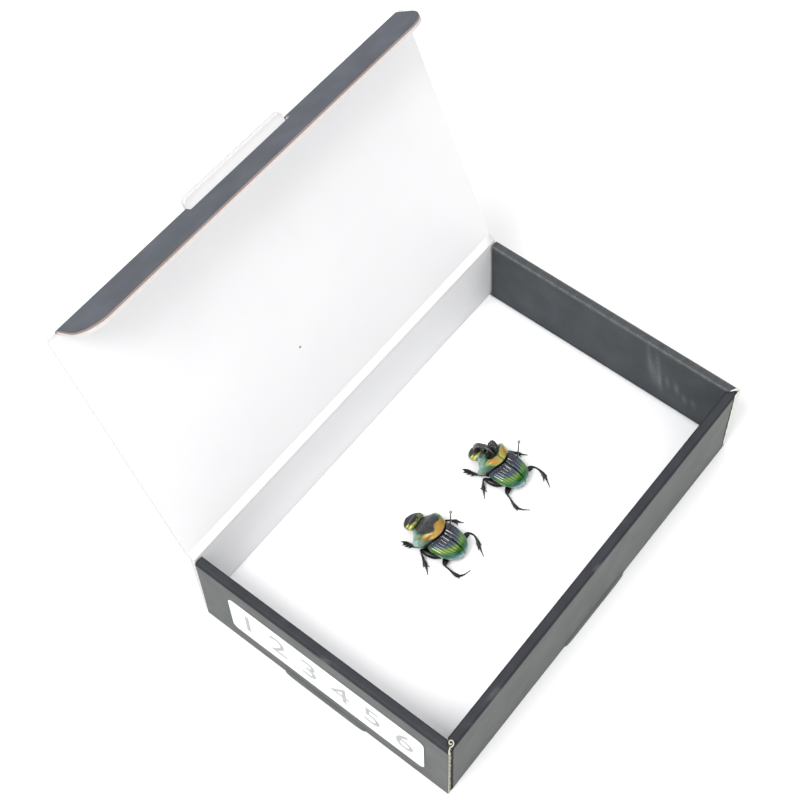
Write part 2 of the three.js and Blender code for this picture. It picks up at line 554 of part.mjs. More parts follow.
// Legs of each beetle, in box coordinates: joints as [x, y, z, half width, half height], then spurs.
const LEGS = {
  female: {
    front_left_leg: {
      path: [[-18.0, 4.4, 10.9, 0.8, 0.7], [-19.9, 5.0, 10.6, 0.6, 0.5], [-21.1, 6.4, 10.3, 0.38, 0.35],
        [-21.4, 8.2, 9.7, 0.62, 0.3], [-21.6, 9.9, 9.3, 0.72, 0.28], [-21.6, 10.9, 9.15, 0.3, 0.2]],
      spurs: [[[-21.7, 7.6, 9.8], [-22.6, 8.3, 9.5], 0.3], [[-21.9, 8.6, 9.6], [-22.9, 9.5, 9.3], 0.32],
        [[-21.9, 9.7, 9.3], [-22.9, 10.7, 9.1], 0.32], [[-21.5, 10.4, 9.2], [-21.9, 11.9, 9.05], 0.3]],
    },
    front_right_leg: {
      path: [[-11.6, 4.9, 10.9, 0.8, 0.7], [-9.9, 5.7, 10.6, 0.6, 0.5], [-9.5, 7.0, 10.3, 0.38, 0.35],
        [-10.2, 8.3, 9.7, 0.62, 0.3], [-11.2, 9.3, 9.3, 0.72, 0.28], [-11.9, 9.9, 9.15, 0.3, 0.2]],
      spurs: [[[-9.9, 7.9, 9.8], [-9.2, 9.0, 9.5], 0.3], [[-10.3, 8.7, 9.5], [-9.9, 10.0, 9.3], 0.32],
        [[-11.0, 9.4, 9.3], [-10.8, 10.6, 9.1], 0.32], [[-11.7, 9.7, 9.2], [-12.2, 11.0, 9.05], 0.3]],
    },
    middle_left_leg: {
      path: [[-17.9, -0.9, 10.0, 1.0, 0.7], [-19.2, 0.6, 10.15, 1.25, 0.85], [-20.3, 2.8, 10.4, 1.05, 0.8],
        [-20.95, 4.2, 10.6, 0.45, 0.45], [-21.8, 3.4, 10.5, 0.3, 0.3], [-23.0, 1.6, 9.9, 0.45, 0.35],
        [-23.7, 0.5, 9.5, 0.75, 0.4], [-24.1, -0.2, 9.3, 0.4, 0.3], [-24.9, -1.2, 9.05, 0.22, 0.2],
        [-25.7, -2.0, 8.9, 0.1, 0.1]],
      spurs: [[[-23.6, 0.6, 9.5], [-23.2, -1.3, 8.95], 0.28], [[-23.7, 0.8, 9.5], [-24.9, 0.5, 9.1], 0.28]],
    },
    middle_right_leg: {
      path: [[-11.3, -0.4, 10.0, 1.0, 0.7], [-10.1, 1.2, 10.15, 1.2, 0.85], [-9.1, 3.2, 10.4, 1.0, 0.8],
        [-8.4, 4.5, 10.6, 0.45, 0.45], [-7.6, 4.0, 10.5, 0.3, 0.3], [-6.5, 2.9, 9.9, 0.45, 0.35],
        [-5.8, 2.0, 9.5, 0.7, 0.4], [-5.4, 1.4, 9.3, 0.35, 0.3], [-4.9, 0.7, 9.05, 0.2, 0.2],
        [-4.5, 0.1, 8.9, 0.1, 0.1]],
      spurs: [[[-5.9, 2.1, 9.5], [-6.4, 0.7, 8.95], 0.28], [[-5.9, 2.3, 9.5], [-4.9, 2.4, 9.1], 0.28]],
    },
    hind_left_leg: {
      path: [[-17.0, -3.2, 10.0, 0.9, 0.7], [-18.8, -3.9, 10.2, 1.05, 0.85], [-20.1, -4.5, 10.4, 0.8, 0.7],
        [-20.7, -5.1, 10.6, 0.4, 0.4], [-20.8, -6.6, 10.4, 0.3, 0.3], [-20.8, -8.2, 9.8, 0.42, 0.35],
        [-20.6, -9.6, 9.4, 0.66, 0.4], [-20.1, -10.4, 9.25, 0.4, 0.3], [-18.6, -11.2, 9.05, 0.2, 0.2],
        [-16.5, -11.7, 8.9, 0.1, 0.1]],
      spurs: [[[-20.5, -9.5, 9.4], [-20.9, -11.0, 8.95], 0.26]],
    },
    hind_right_leg: {
      path: [[-12.0, -3.0, 10.0, 0.9, 0.7], [-9.4, -3.5, 10.2, 1.05, 0.85], [-7.7, -3.9, 10.5, 0.8, 0.7],
        [-7.0, -4.4, 10.7, 0.4, 0.4], [-6.7, -5.7, 10.5, 0.3, 0.3], [-7.1, -7.2, 9.9, 0.45, 0.35],
        [-7.8, -8.4, 9.4, 0.7, 0.4], [-8.3, -9.2, 9.25, 0.4, 0.3], [-9.2, -10.6, 9.05, 0.2, 0.2],
        [-10.0, -12.0, 8.9, 0.1, 0.1]],
      spurs: [[[-7.9, -8.3, 9.4], [-9.5, -9.7, 8.95], 0.28], [[-7.5, -8.1, 9.5], [-7.2, -9.4, 9.1], 0.24]],
    },
  },
  male: {
    front_left_leg: {
      path: [[14.6, 3.6, 10.9, 0.8, 0.7], [12.8, 4.6, 10.6, 0.6, 0.5], [11.6, 6.1, 10.3, 0.38, 0.35],
        [11.1, 8.3, 9.7, 0.62, 0.3], [10.9, 10.3, 9.3, 0.72, 0.28], [10.8, 11.5, 9.15, 0.3, 0.2]],
      spurs: [[[10.8, 7.6, 9.8], [9.9, 8.4, 9.5], 0.3], [[10.6, 8.9, 9.6], [9.7, 9.9, 9.3], 0.32],
        [[10.6, 10.1, 9.3], [9.7, 11.2, 9.1], 0.32], [[10.9, 11.0, 9.2], [10.6, 12.5, 9.05], 0.3]],
    },
    front_right_leg: {
      path: [[20.6, 4.4, 10.9, 0.8, 0.7], [22.2, 5.4, 10.6, 0.6, 0.5], [22.6, 6.8, 10.3, 0.38, 0.35],
        [21.9, 8.1, 9.7, 0.62, 0.3], [20.9, 9.1, 9.3, 0.72, 0.28], [20.2, 9.7, 9.15, 0.3, 0.2]],
      spurs: [[[22.2, 7.7, 9.8], [22.9, 8.8, 9.5], 0.3], [[21.8, 8.5, 9.5], [22.2, 9.8, 9.3], 0.32],
        [[21.1, 9.2, 9.3], [21.3, 10.4, 9.1], 0.32], [[20.4, 9.5, 9.2], [19.9, 10.8, 9.05], 0.3]],
    },
    middle_left_leg: {
      path: [[14.9, -1.1, 10.0, 1.0, 0.7], [13.3, 0.3, 10.15, 1.25, 0.85], [12.1, 2.2, 10.4, 1.0, 0.8],
        [11.4, 3.7, 10.6, 0.45, 0.45], [10.7, 3.6, 10.5, 0.3, 0.3], [9.7, 2.9, 9.9, 0.45, 0.35],
        [8.9, 2.2, 9.5, 0.72, 0.4], [8.5, 1.8, 9.3, 0.4, 0.3], [7.5, 0.9, 9.05, 0.22, 0.2],
        [6.6, 0.0, 8.9, 0.1, 0.1]],
      spurs: [[[9.0, 2.2, 9.5], [8.9, 0.5, 8.95], 0.28], [[9.0, 2.4, 9.5], [8.3, 3.4, 9.1], 0.28]],
    },
    middle_right_leg: {
      path: [[20.7, -0.9, 10.0, 1.0, 0.7], [22.1, 0.6, 10.15, 1.2, 0.85], [23.2, 2.4, 10.4, 1.0, 0.8],
        [24.0, 3.7, 10.6, 0.45, 0.45], [24.7, 3.2, 10.5, 0.3, 0.3], [25.6, 1.8, 9.9, 0.45, 0.35],
        [26.2, 0.9, 9.5, 0.65, 0.4], [26.6, 0.2, 9.3, 0.35, 0.3], [27.2, -0.6, 9.05, 0.2, 0.2],
        [27.8, -1.4, 8.9, 0.1, 0.1]],
      spurs: [[[26.2, 0.9, 9.5], [25.8, -0.5, 8.95], 0.26], [[26.2, 1.0, 9.5], [27.3, 0.8, 9.1], 0.26]],
    },
    hind_left_leg: {
      path: [[15.3, -3.6, 10.0, 0.9, 0.7], [13.4, -4.3, 10.2, 1.05, 0.85], [12.1, -4.9, 10.4, 0.8, 0.7],
        [11.4, -5.4, 10.6, 0.4, 0.4], [10.9, -6.8, 10.4, 0.3, 0.3], [10.3, -8.4, 9.8, 0.42, 0.35],
        [9.9, -10.0, 9.4, 0.62, 0.4], [10.1, -10.9, 9.25, 0.38, 0.3], [10.9, -12.4, 9.05, 0.2, 0.2],
        [12.0, -13.8, 8.9, 0.1, 0.1]],
      spurs: [[[9.9, -9.8, 9.4], [9.2, -11.2, 8.95], 0.26]],
    },
    hind_right_leg: {
      path: [[20.0, -4.0, 10.0, 0.9, 0.7], [22.3, -4.9, 10.2, 1.0, 0.85], [23.8, -5.6, 10.5, 0.8, 0.7],
        [24.5, -6.2, 10.7, 0.4, 0.4], [24.9, -7.4, 10.5, 0.3, 0.3], [25.0, -8.9, 9.9, 0.45, 0.35],
        [24.7, -10.3, 9.4, 0.72, 0.4], [24.4, -11.2, 9.25, 0.4, 0.3], [23.6, -12.6, 9.05, 0.2, 0.2],
        [22.7, -14.0, 8.9, 0.1, 0.1]],
      spurs: [[[24.6, -10.2, 9.4], [22.9, -11.5, 8.95], 0.28],
        [[24.9, -10.0, 9.5], [25.5, -11.3, 9.1], 0.24]],
    },
  },
};

// Horn of the male: it rises from the head and curves back over the hollow of the pronotum.
const HORN = [
  [0, 11.7, 4.2, 1.0, 1.0], [0, 11.8, 5.9, 0.94, 0.95], [0, 11.1, 7.6, 0.84, 0.86], [0, 9.8, 8.8, 0.74, 0.74],
  [0, 8.1, 9.3, 0.6, 0.6], [0, 6.3, 9.1, 0.44, 0.45], [0, 4.9, 8.6, 0.18, 0.18],
];

// One whole beetle with its pin. Its own frame has the head at +Y and the foam at z = 0.
function beetle(sex, x, y, turn, pinAt) {
  const place = new THREE.Matrix4().makeRotationZ(rad(turn)).setPosition(x, y, FOAM_TOP);
  const put = (geometry) => geometry.applyMatrix4(place);
  const hole = bore(pinAt, FOAM_TOP, pinAt[2]);
  const head = sex === 'male' ? join(headPlate(true), limb(HORN, 8)) : headPlate(false);
  add(`${sex}_head`, put(head), LOOKS.head);
  add(`${sex}_pronotum`, put(pronotum(sex === 'male')), LOOKS.pronotum);
  add(`${sex}_left_elytron`, put(elytron(-1)), LOOKS.elytron);
  add(`${sex}_right_elytron`, cut(put(elytron(1)), hole), LOOKS.elytron);
  add(`${sex}_body`, cut(put(hindBody()), hole), LOOKS.black);
  const around = [pronotum(sex === 'male', PIECE_GAP), hindBody(-PIECE_GAP, PIECE_GAP)].map(put);
  for (const [name, { path, spurs }] of Object.entries(LEGS[sex])) {
    const whole = join(limb(path), ...spurs.map(([from, to, radius]) => spur(from, to, radius)));
    add(`${sex}_${name}`, largest(cut(whole, ...around)), LOOKS.black);
  }
  pin(`${sex}_pin`, pinAt);
}

beetle('female', FEMALE_X, FEMALE_Y, FEMALE_TURN, FEMALE_PIN);
beetle('male', MALE_X, MALE_Y, MALE_TURN, MALE_PIN);

export default group;
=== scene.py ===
# %% [markdown]
# # Pinned beetle pair in its box
# Two dung beetles stand on pins in a small folded cardboard box with white foam. The packed
# solids give the frame: where each piece is and how the lid moves. This lesson puts a finer
# surface over each of them, worked out with numpy, and gives each one a real finish.
# All shapes are worked out in millimetres in the box's own frame: X along the box, the lid's
# hinge at +Y, the underside of the base at Z = 0.

# %% Load the frame
import bpy
import numpy as np
from mathutils import Matrix


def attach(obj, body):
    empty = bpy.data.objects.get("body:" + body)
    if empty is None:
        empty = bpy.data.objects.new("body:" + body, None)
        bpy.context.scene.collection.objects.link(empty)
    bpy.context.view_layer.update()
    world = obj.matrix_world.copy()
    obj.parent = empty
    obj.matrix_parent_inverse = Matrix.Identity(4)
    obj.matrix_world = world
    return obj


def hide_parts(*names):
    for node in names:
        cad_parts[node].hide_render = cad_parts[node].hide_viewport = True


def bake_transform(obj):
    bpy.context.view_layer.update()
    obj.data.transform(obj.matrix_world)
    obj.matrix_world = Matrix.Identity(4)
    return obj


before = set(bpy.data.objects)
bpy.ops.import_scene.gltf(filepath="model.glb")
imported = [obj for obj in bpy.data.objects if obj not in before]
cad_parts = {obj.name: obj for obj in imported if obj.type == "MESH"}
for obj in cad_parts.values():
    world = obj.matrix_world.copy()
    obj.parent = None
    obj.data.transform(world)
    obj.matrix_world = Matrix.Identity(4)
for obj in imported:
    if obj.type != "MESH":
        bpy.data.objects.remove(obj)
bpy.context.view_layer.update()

MM = 0.001

# %% [markdown]
# ## Camera
# The photo was taken from above the box's near end, with a lens long enough to keep the edges
# nearly parallel. The box's corners in the photo give the camera's turn, height, roll and
# distance. A camera could be aimed with a constraint, but three axes worked out from the angles
# also give the roll, and stay the same each time.

# %% Camera
AIM = np.array([23.004, 47.754, 0.0])
AZIMUTH, ELEVATION, ROLL = np.radians([-49.744, 58.689, -2.199])
DISTANCE = 557.64


def camera_axes(azimuth, elevation, roll):
    """Right, up and back axes: back points from the aim to the camera, right is level and square
    to it, and both turn about back by the roll."""
    back = np.array([np.sin(azimuth) * np.cos(elevation),
                     -np.cos(azimuth) * np.cos(elevation), np.sin(elevation)])
    level = np.array([np.cos(azimuth), np.sin(azimuth), 0.0])
    rise = np.cross(back, level)
    right = np.cos(roll) * level + np.sin(roll) * rise
    return right, np.cross(back, right), back


def unit(vectors):
    """Each vector divided by its own length."""
    return vectors / np.linalg.norm(vectors, axis=-1, keepdims=True)


def put_in_scene(name, data):
    """An object that shows the data, linked to the scene."""
    thing = bpy.data.objects.new(name, data)
    bpy.context.scene.collection.objects.link(thing)
    return thing


def aim(thing, axes, place):
    """Turns a camera or lamp to its right, up and back axes and sets it at a place in metres."""
    matrix = np.eye(4)
    matrix[:3, :3], matrix[:3, 3] = np.array(axes).T, place
    thing.matrix_world = Matrix(matrix.tolist())


camera_data = bpy.data.cameras.new("photo_camera")
camera_data.sensor_width, camera_data.lens = 36.0, 74.2
camera = put_in_scene("photo_camera", camera_data)
bpy.context.scene.camera = camera
axes = camera_axes(AZIMUTH, ELEVATION, ROLL)
camera_place = (AIM + DISTANCE * axes[2]) * MM
aim(camera, axes, camera_place)
print("camera at", camera_place.round(4))

# %% [markdown]
# ## Tools for surfaces
# Nearly every piece here is one of two shapes. A plate is a sheet with two faces and an edge
# round it: cardboard, paper, a wing case. A tube is a row of rings: a leg, a horn, a pin. Both
# could be modelled by hand with extrusions, but a formula on a grid keeps them smooth, closed and
# easy to change, so two small functions turn grids of points into faces made of quads.

# %% Grids into faces


def vec(*values):
    """Coordinates side by side along a new last axis, each one spread over the same grid."""
    return np.stack(np.broadcast_arrays(*values), -1)


def smooth(a, b, x):
    """0 before a, 1 after b, and an S-shaped step between them."""
    t = np.clip((x - a) / (b - a), 0, 1)
    return t * t * (3 - 2 * t)


def bump(x, middle, width):
    """A bell of height 1 at the middle, which falls to about a third at the width."""
    return np.exp(-((x - middle) / width) ** 2)


def uneven(x, seed, pitch):
    """A slow, repeatable waver from -1 to 1 along x: three sines of unrelated length."""
    a, b, c = np.random.default_rng(seed).uniform(0, 6.28, 3)
    k = 2 * np.pi / pitch
    return (np.sin(k * x + a) + 0.6 * np.sin(1.73 * k * x + b) + 0.4 * np.sin(3.1 * k * x + c)) / 2


def cloudy(x, y, seed, size):
    """Repeatable blotches from -1 to 1 over x and y: four sine waves in unrelated directions."""
    rng = np.random.default_rng(seed)
    angle, phase = rng.uniform(0, np.pi, 4), rng.uniform(0, 6.28, 4)
    k = 2 * np.pi / size * np.array([1, 1.37, 1.9, 2.6])
    waves = [np.sin(k[i] * (x * np.cos(angle[i]) + y * np.sin(angle[i])) + phase[i]) / (1 + 0.4 * i)
             for i in range(4)]
    return sum(waves) / 2.2


def part(points, quads, slots=None, uv=None, marks=None):
    """A closed surface as arrays. If its volume comes out negative, every face is turned round."""
    a, b, c, d = (points[quads[:, k]] for k in range(4))
    volume = np.einsum("ij,ij->", a, np.cross(b, c)) + np.einsum("ij,ij->", a, np.cross(c, d))
    if volume < 0:
        quads = quads[:, ::-1]
        uv = None if uv is None else uv[:, ::-1]
    slots = np.zeros(len(quads), int) if slots is None else slots
    uv = np.zeros((len(quads), 4, 2)) if uv is None else uv
    return {"points": points, "quads": quads, "slots": slots, "uv": uv, "marks": marks or {}}


def plate(top, under, lengths=None, slots=(0, 0, 0), marks=None):
    """Two grids of the same size, joined round their edge. lengths holds each point's way across
    and along in mm, for the UV map, and slots the finish of the top, underside and edge. A
    slot of the top may be one number for each column of faces."""
    rows, columns = top.shape[:2]
    points = np.concatenate([top.reshape(-1, 3), under.reshape(-1, 3)])
    n = rows * columns
    index = np.arange(n).reshape(rows, columns)
    face = vec(index[:-1, :-1], index[:-1, 1:], index[1:, 1:], index[1:, :-1])
    across, along = lengths if lengths is not None else np.meshgrid(
        np.linspace(0, 1, columns), np.linspace(0, 1, rows))
    flat = vec(across, along).reshape(-1, 2)
    top_quads = face.reshape(-1, 4)
    under_quads = top_quads[:, ::-1] + n
    ring = np.concatenate([index[0, :-1], index[:-1, -1], index[-1, :0:-1], index[:0:-1, 0]])
    far = np.roll(ring, -1)
    edge_quads = vec(ring, ring + n, far + n, far)
    kind = np.repeat([0, 1, 0, 1], [columns - 1, rows - 1, columns - 1, rows - 1])
    way = np.where(kind == 0, flat[ring, 0], flat[ring, 1])
    way_far = np.where(kind == 0, flat[far, 0], flat[far, 1])
    zero, one = np.zeros(len(ring)), np.ones(len(ring))
    edge_uv = np.stack([vec(way, zero), vec(way, one), vec(way_far, one), vec(way_far, zero)], 1)
    quads = np.concatenate([top_quads, under_quads, edge_quads])
    uv = np.concatenate([flat[top_quads], flat[under_quads - n], edge_uv])
    top_slots = np.broadcast_to(np.asarray(slots[0]), (rows - 1, columns - 1)).ravel()
    finishes = np.concatenate([top_slots, np.full(len(under_quads), slots[1]),
                               np.full(len(edge_quads), slots[2])])
    both = {k: np.concatenate([v.ravel(), v.ravel()]) for k, v in (marks or {}).items()}
    return part(points, quads, finishes, uv, both)


def tube(rings, slot=0, marks=None):
    """A row of rings with the same even number of points, its two ends closed with strips."""
    count, sides = rings.shape[:2]
    index = np.arange(count * sides).reshape(count, sides)
    near, far = index, np.roll(index, -1, axis=1)
    walls = vec(near[:-1], far[:-1], far[1:], near[1:]).reshape(-1, 4)
    k = np.arange(sides // 2 - 1)
    cap = vec(k, k + 1, sides - 2 - k, sides - 1 - k)
    quads = np.concatenate([walls, cap[:, ::-1], cap + (count - 1) * sides])
    flat = {name: v.ravel() for name, v in (marks or {}).items()}
    return part(rings.reshape(-1, 3), quads, np.full(len(quads), slot), None, flat)


print("a step from 0 to 1 is at", smooth(0, 1, np.array([0.25, 0.5, 0.75])), "on its way")

# %% [markdown]
# ## From faces to a piece
# Each piece of the box or of a beetle becomes one mesh with its place already in its points, so
# that nothing has to be moved afterwards. It is hung on the body of the frame it moves with, and
# the solids it stands for are hidden. Values that colour it, such as how near a point is to the
# rim of a wing case, are kept on the points as named marks.

# %% Faces into pieces


def new_piece(name, parts, finishes, stands_for=(), body="tray_body", soft=True):
    """Puts the parts into one mesh, in metres, with its place in the mesh, gives it its finishes,
    hangs it on the empty of the CAD body it moves with and hides the CAD nodes it stands for."""
    counts = [len(p["points"]) for p in parts]
    starts = np.cumsum([0] + counts[:-1])
    points = np.concatenate([p["points"] for p in parts]) * MM
    quads = np.concatenate([p["quads"] + s for p, s in zip(parts, starts)]).astype(np.int32)
    mesh = bpy.data.meshes.new(name)
    mesh.vertices.add(len(points))
    mesh.vertices.foreach_set("co", points.astype(np.float32).ravel())
    mesh.loops.add(quads.size)
    mesh.loops.foreach_set("vertex_index", quads.ravel())
    mesh.polygons.add(len(quads))
    mesh.polygons.foreach_set("loop_start", np.arange(0, quads.size, 4, dtype=np.int32))
    slots = np.concatenate([p["slots"] for p in parts]).astype(np.int32)
    mesh.polygons.foreach_set("material_index", slots)
    mesh.polygons.foreach_set("use_smooth", np.full(len(quads), soft))
    mesh.update(calc_edges=True)
    uv = np.concatenate([p["uv"] for p in parts]).astype(np.float32)
    mesh.uv_layers.new(name="surface").data.foreach_set("uv", uv.ravel())
    for mark in sorted({k for p in parts for k in p["marks"]}):
        values = np.concatenate([p["marks"].get(mark, np.zeros(n)) for p, n in zip(parts, counts)])
        attribute = mesh.attributes.new(mark, "FLOAT", "POINT")
        attribute.data.foreach_set("value", values.astype(np.float32))
    for finish in finishes:
        mesh.materials.append(finish)
    piece = put_in_scene(name, mesh)
    if body:
        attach(piece, body)
    if stands_for:
        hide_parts(*stands_for)
    print(f"{name}: {len(quads)} quads")
    return piece


# %% [markdown]
# ## Tools for finishes
# A material is a small network of nodes. Each colour is given as the hex value that a painter
# would pick on a screen, and turned to the linear values that the renderer reckons with. One
# function adds any node with its settings and links, so that each finish reads as a short list.

# %% Colours and nodes


def linear(code):
    """sRGB hex to linear red, green, blue and alpha."""
    c = np.array([int(code[i:i + 2], 16) for i in (1, 3, 5)]) / 255
    return (*np.where(c <= 0.04045, c / 12.92, ((c + 0.055) / 1.055) ** 2.4).tolist(), 1.0)


def connect(tree, node, name, source):
    """Feeds one socket. A whole node as a source stands for its first output in use."""
    if isinstance(source, bpy.types.Node):
        source = [output for output in source.outputs if output.enabled][0]
    tree.links.new(source, node.inputs[name])


def add_node(tree, kind, inputs):
    """Adds one shader node; a Mix mixes colours. inputs are its options, the values of its
    sockets, colours as hex, a ramp's "stops" as place and hex, a pattern's scale as its grain
    in "mm", and links, wherever a value is a node or one of its outputs."""
    node = tree.nodes.new("ShaderNode" + kind)
    if kind == "Mix":
        node.data_type = "RGBA"
    for name, value in inputs.items():
        if isinstance(value, (bpy.types.Node, bpy.types.NodeSocket)):
            connect(tree, node, name, value)
        elif name == "stops":
            ramp = node.color_ramp
            ramp.elements.remove(ramp.elements[-1])
            for i, (place, code) in enumerate(value):
                stop = ramp.elements[0] if i == 0 else ramp.elements.new(place)
                stop.position, stop.color = place, linear(code)
        elif name == "mm":
            node.inputs["Scale"].default_value = 1 / (value * MM)
        elif isinstance(name, str) and hasattr(node, name):
            setattr(node, name, value)
        else:
            node.inputs[name].default_value = linear(value) if isinstance(value, str) else value
    return node


def new_finish(name, **sockets):
    """A material with its shader's constants set, its tree and shader, and the place on the
    piece in metres, which all its patterns read."""
    material = bpy.data.materials.new(name)
    material.use_nodes = True
    tree = material.node_tree
    shader = tree.nodes["Principled BSDF"]
    for socket, value in sockets.items():
        value = linear(value) if isinstance(value, str) else value
        shader.inputs[socket.replace("_", " ")].default_value = value
    place = add_node(tree, "TexCoord", {}).outputs["Object"]
    return material, tree, shader, place


def two_tone(made, tones, grain, detail=2.0, relief=None, tooth=None):
    """Gives a new finish a colour that wanders between two tones with a noise of grain mm, and
    a relief, as strength and depth in mm, of the same noise or of a tooth of its own size."""
    material, tree, shader, place = made
    noise = add_node(tree, "TexNoise", {"mm": grain, "Detail": detail, "Vector": place})
    colour = add_node(tree, "Mix", {6: tones[0], 7: tones[1], 0: noise})
    connect(tree, shader, "Base Color", colour)
    if relief:
        height = add_node(tree, "TexNoise", {"mm": tooth, "Vector": place}) if tooth else noise
        hills = add_node(tree, "Bump", {"Strength": relief[0], "Distance": relief[1] * MM, "Height": height})
        connect(tree, shader, "Normal", hills)
    return material


print("mid grey #808080 is", round(linear("#808080")[0], 3), "in linear light")

# %% [markdown]
# ## Cardboard finishes
# The box is E-flute corrugated board, about 1.6 mm thick: a white clay-coated liner inside, and
# a liner printed with matt black ink outside. Ink on card is never even: it is mottled, and it
# wears pale on folds and where the box was rubbed. Light and shade are painted into the ink too:
# its outer faces take a lighter tone as painted light, its rolled top and inner faces darker
# tones as painted shade. Where the board is cut, the raw edge shows two liners with a wavy sheet
# between. All three could be painted as pictures, but nodes driven by millimetres keep them sharp
# in every view.

# %% Cardboard finishes
FLUTE_PITCH = 3.2


def printed_board(name, ink, worn, scuff_and_highlight_tone="#8f9392"):
    """Matt black offset ink on card. To the eye it is a soft dusty grey without any clear
    reflection, with a mottle of 9 mm, a tooth of 0.5 mm, and pale scuffs and painted highlights
    where the mark says."""
    finish, tree, shader, place = new_finish(name, Roughness=0.62, IOR=1.5, Specular_IOR_Level=0.3)
    cloud = add_node(tree, "TexNoise", {"mm": 9, "Detail": 3.0, "Vector": place})
    mottle = add_node(tree, "MapRange", {"From Min": 0.38, "From Max": 0.66, "To Max": 0.7, "Value": cloud})
    tooth = add_node(tree, "TexNoise", {"mm": 0.5, "Detail": 2.0, "Vector": place})
    speckle = add_node(tree, "Math", {"operation": "MULTIPLY", 1: 0.5, 0: tooth})
    # The mark lightens the ink with rubbed wear, and along the far wall's brows with a painted highlight.
    wear = add_node(tree, "Attribute", {"attribute_name": "wear"}).outputs["Fac"]
    scuffs_and_highlights = add_node(tree, "Math", {"operation": "MULTIPLY", 0: wear, 1: tooth})
    colour = add_node(tree, "Mix", {6: ink, 7: worn, 0: mottle})
    colour = add_node(tree, "Mix", {7: worn, 0: speckle, 6: colour})
    colour = add_node(tree, "Mix", {7: scuff_and_highlight_tone, 0: scuffs_and_highlights, 6: colour})
    hills = add_node(tree, "Bump", {"Strength": 0.5, "Distance": 0.02 * MM, "Height": tooth})
    connect(tree, shader, "Base Color", colour)
    connect(tree, shader, "Normal", hills)
    return finish


def lining_board(name, white, shade):
    """White clay-coated liner. To the eye it is a clean matt white that clouds over a little
    every 25 mm and has a tooth too fine to see, so that it never looks like plastic."""
    finish, tree, shader, place = new_finish(name, Roughness=0.55, IOR=1.5, Specular_IOR_Level=0.3)
    cloud = add_node(tree, "TexNoise", {"mm": 25, "Vector": place})
    veil = add_node(tree, "Math", {"operation": "MULTIPLY", 1: 0.3, 0: cloud})
    tooth = add_node(tree, "TexNoise", {"mm": 0.6, "Vector": place})
    colour = add_node(tree, "Mix", {6: white, 7: shade, 0: veil})
    hills = add_node(tree, "Bump", {"Strength": 0.3, "Distance": 0.01 * MM, "Height": tooth})
    connect(tree, shader, "Base Color", colour)
    connect(tree, shader, "Normal", hills)
    return finish


def cut_board(name, liner, core, hollow, inked, ink_from=0.86):
    """Raw edge of corrugated board. To the eye it is a pale stripe with a fine wave in it and
    a thin line of ink along one side. The UV map runs in mm along the edge and 0 to 1 through
    the sheet: the wave is a sine of one flute pitch, with shade beside it, and the ink has
    bled in from ink_from to 1."""
    finish, tree, shader, place = new_finish(name, Roughness=0.9, IOR=1.45, Specular_IOR_Level=0.1)
    surface = add_node(tree, "UVMap", {"uv_map": "surface"})
    along, through, _ = add_node(tree, "SeparateXYZ", {"Vector": surface}).outputs
    turn = add_node(tree, "Math", {"operation": "MULTIPLY", 1: 2 * np.pi / FLUTE_PITCH, 0: along})
    swing = add_node(tree, "Math", {"operation": "SINE", 0: turn})
    wave = add_node(tree, "Math", {"operation": "MULTIPLY_ADD", 1: 0.3, 2: 0.5, 0: swing})
    off_wave = add_node(tree, "Math", {"operation": "SUBTRACT", 0: through, 1: wave})
    gap = add_node(tree, "Math", {"operation": "ABSOLUTE", 0: off_wave})
    on_wave = add_node(tree, "Math", {"operation": "LESS_THAN", 1: 0.13, 0: gap})
    in_liner = add_node(tree, "Math", {"operation": "COMPARE", 1: 0.5, 2: 0.34, 0: through})
    in_ink = add_node(tree, "Math", {"operation": "GREATER_THAN", 1: ink_from, 0: through})
    fibres = add_node(tree, "TexNoise", {"mm": 0.35, "Vector": place})
    colour = add_node(tree, "Mix", {6: hollow, 7: core, 0: on_wave})
    colour = add_node(tree, "Mix", {6: liner, 0: in_liner, 7: colour})
    colour = add_node(tree, "Mix", {7: inked, 0: in_ink, 6: colour})
    haze = add_node(tree, "Math", {"operation": "MULTIPLY", 1: 0.35, 0: fibres})
    colour = add_node(tree, "Mix", {7: core, 0: haze, 6: colour})
    hills = add_node(tree, "Bump", {"Strength": 0.7, "Distance": 0.05 * MM, "Height": fibres})
    connect(tree, shader, "Base Color", colour)
    connect(tree, shader, "Normal", hills)
    return finish


# One matt black ink in four tones of painted light and shade: lighter on the outer faces, darker on the
# rolled top and the inner faces, darkest as painted shade in the two fold creases.
board_outside_painted_light = printed_board("matt_ink_outer_painted_light", "#505353", "#606362")
board_top_painted_shade = printed_board("matt_ink_top_painted_shade", "#26282d", "#34363b")
board_crease_painted_shade = printed_board("matt_ink_crease_painted_shade", "#1c1e22", "#2a2c30")
board_inside_painted_shade = printed_board("matt_ink_inner_painted_shade", "#303438", "#3f4448")
board_lining = lining_board("white_clay_coated_lining", "#e6e6e7", "#d0d0d2")
board_cut = cut_board("raw_corrugated_edge", "#d8d4c8", "#bdb7a8", "#7f786a", "#4a463f")
lining_cut = cut_board("pale_raw_edge", "#e6e6e5", "#dadad9", "#c9c8c6", "#a5a3a0")
flap_outside = printed_board("matt_ink_on_flap", "#454950", "#565a63")
flap_cut = cut_board("pinkish_raw_edge", "#cdc8c7", "#cac5c4", "#c2bdbb", "#7d675d", 0.62)
TRAY_FINISHES = [board_outside_painted_light, board_top_painted_shade, board_crease_painted_shade, board_inside_painted_shade, board_lining, board_cut]
LID_FINISHES = [board_lining, board_outside_painted_light, lining_cut]
FLAP_FINISHES = [board_lining, flap_outside, flap_cut]
OUTSIDE_PAINTED_LIGHT, TOP_PAINTED_SHADE, CREASE_PAINTED_SHADE, INSIDE_PAINTED_SHADE, LINING, CUT = range(6)
print("cardboard finishes:", [m.name for m in TRAY_FINISHES])

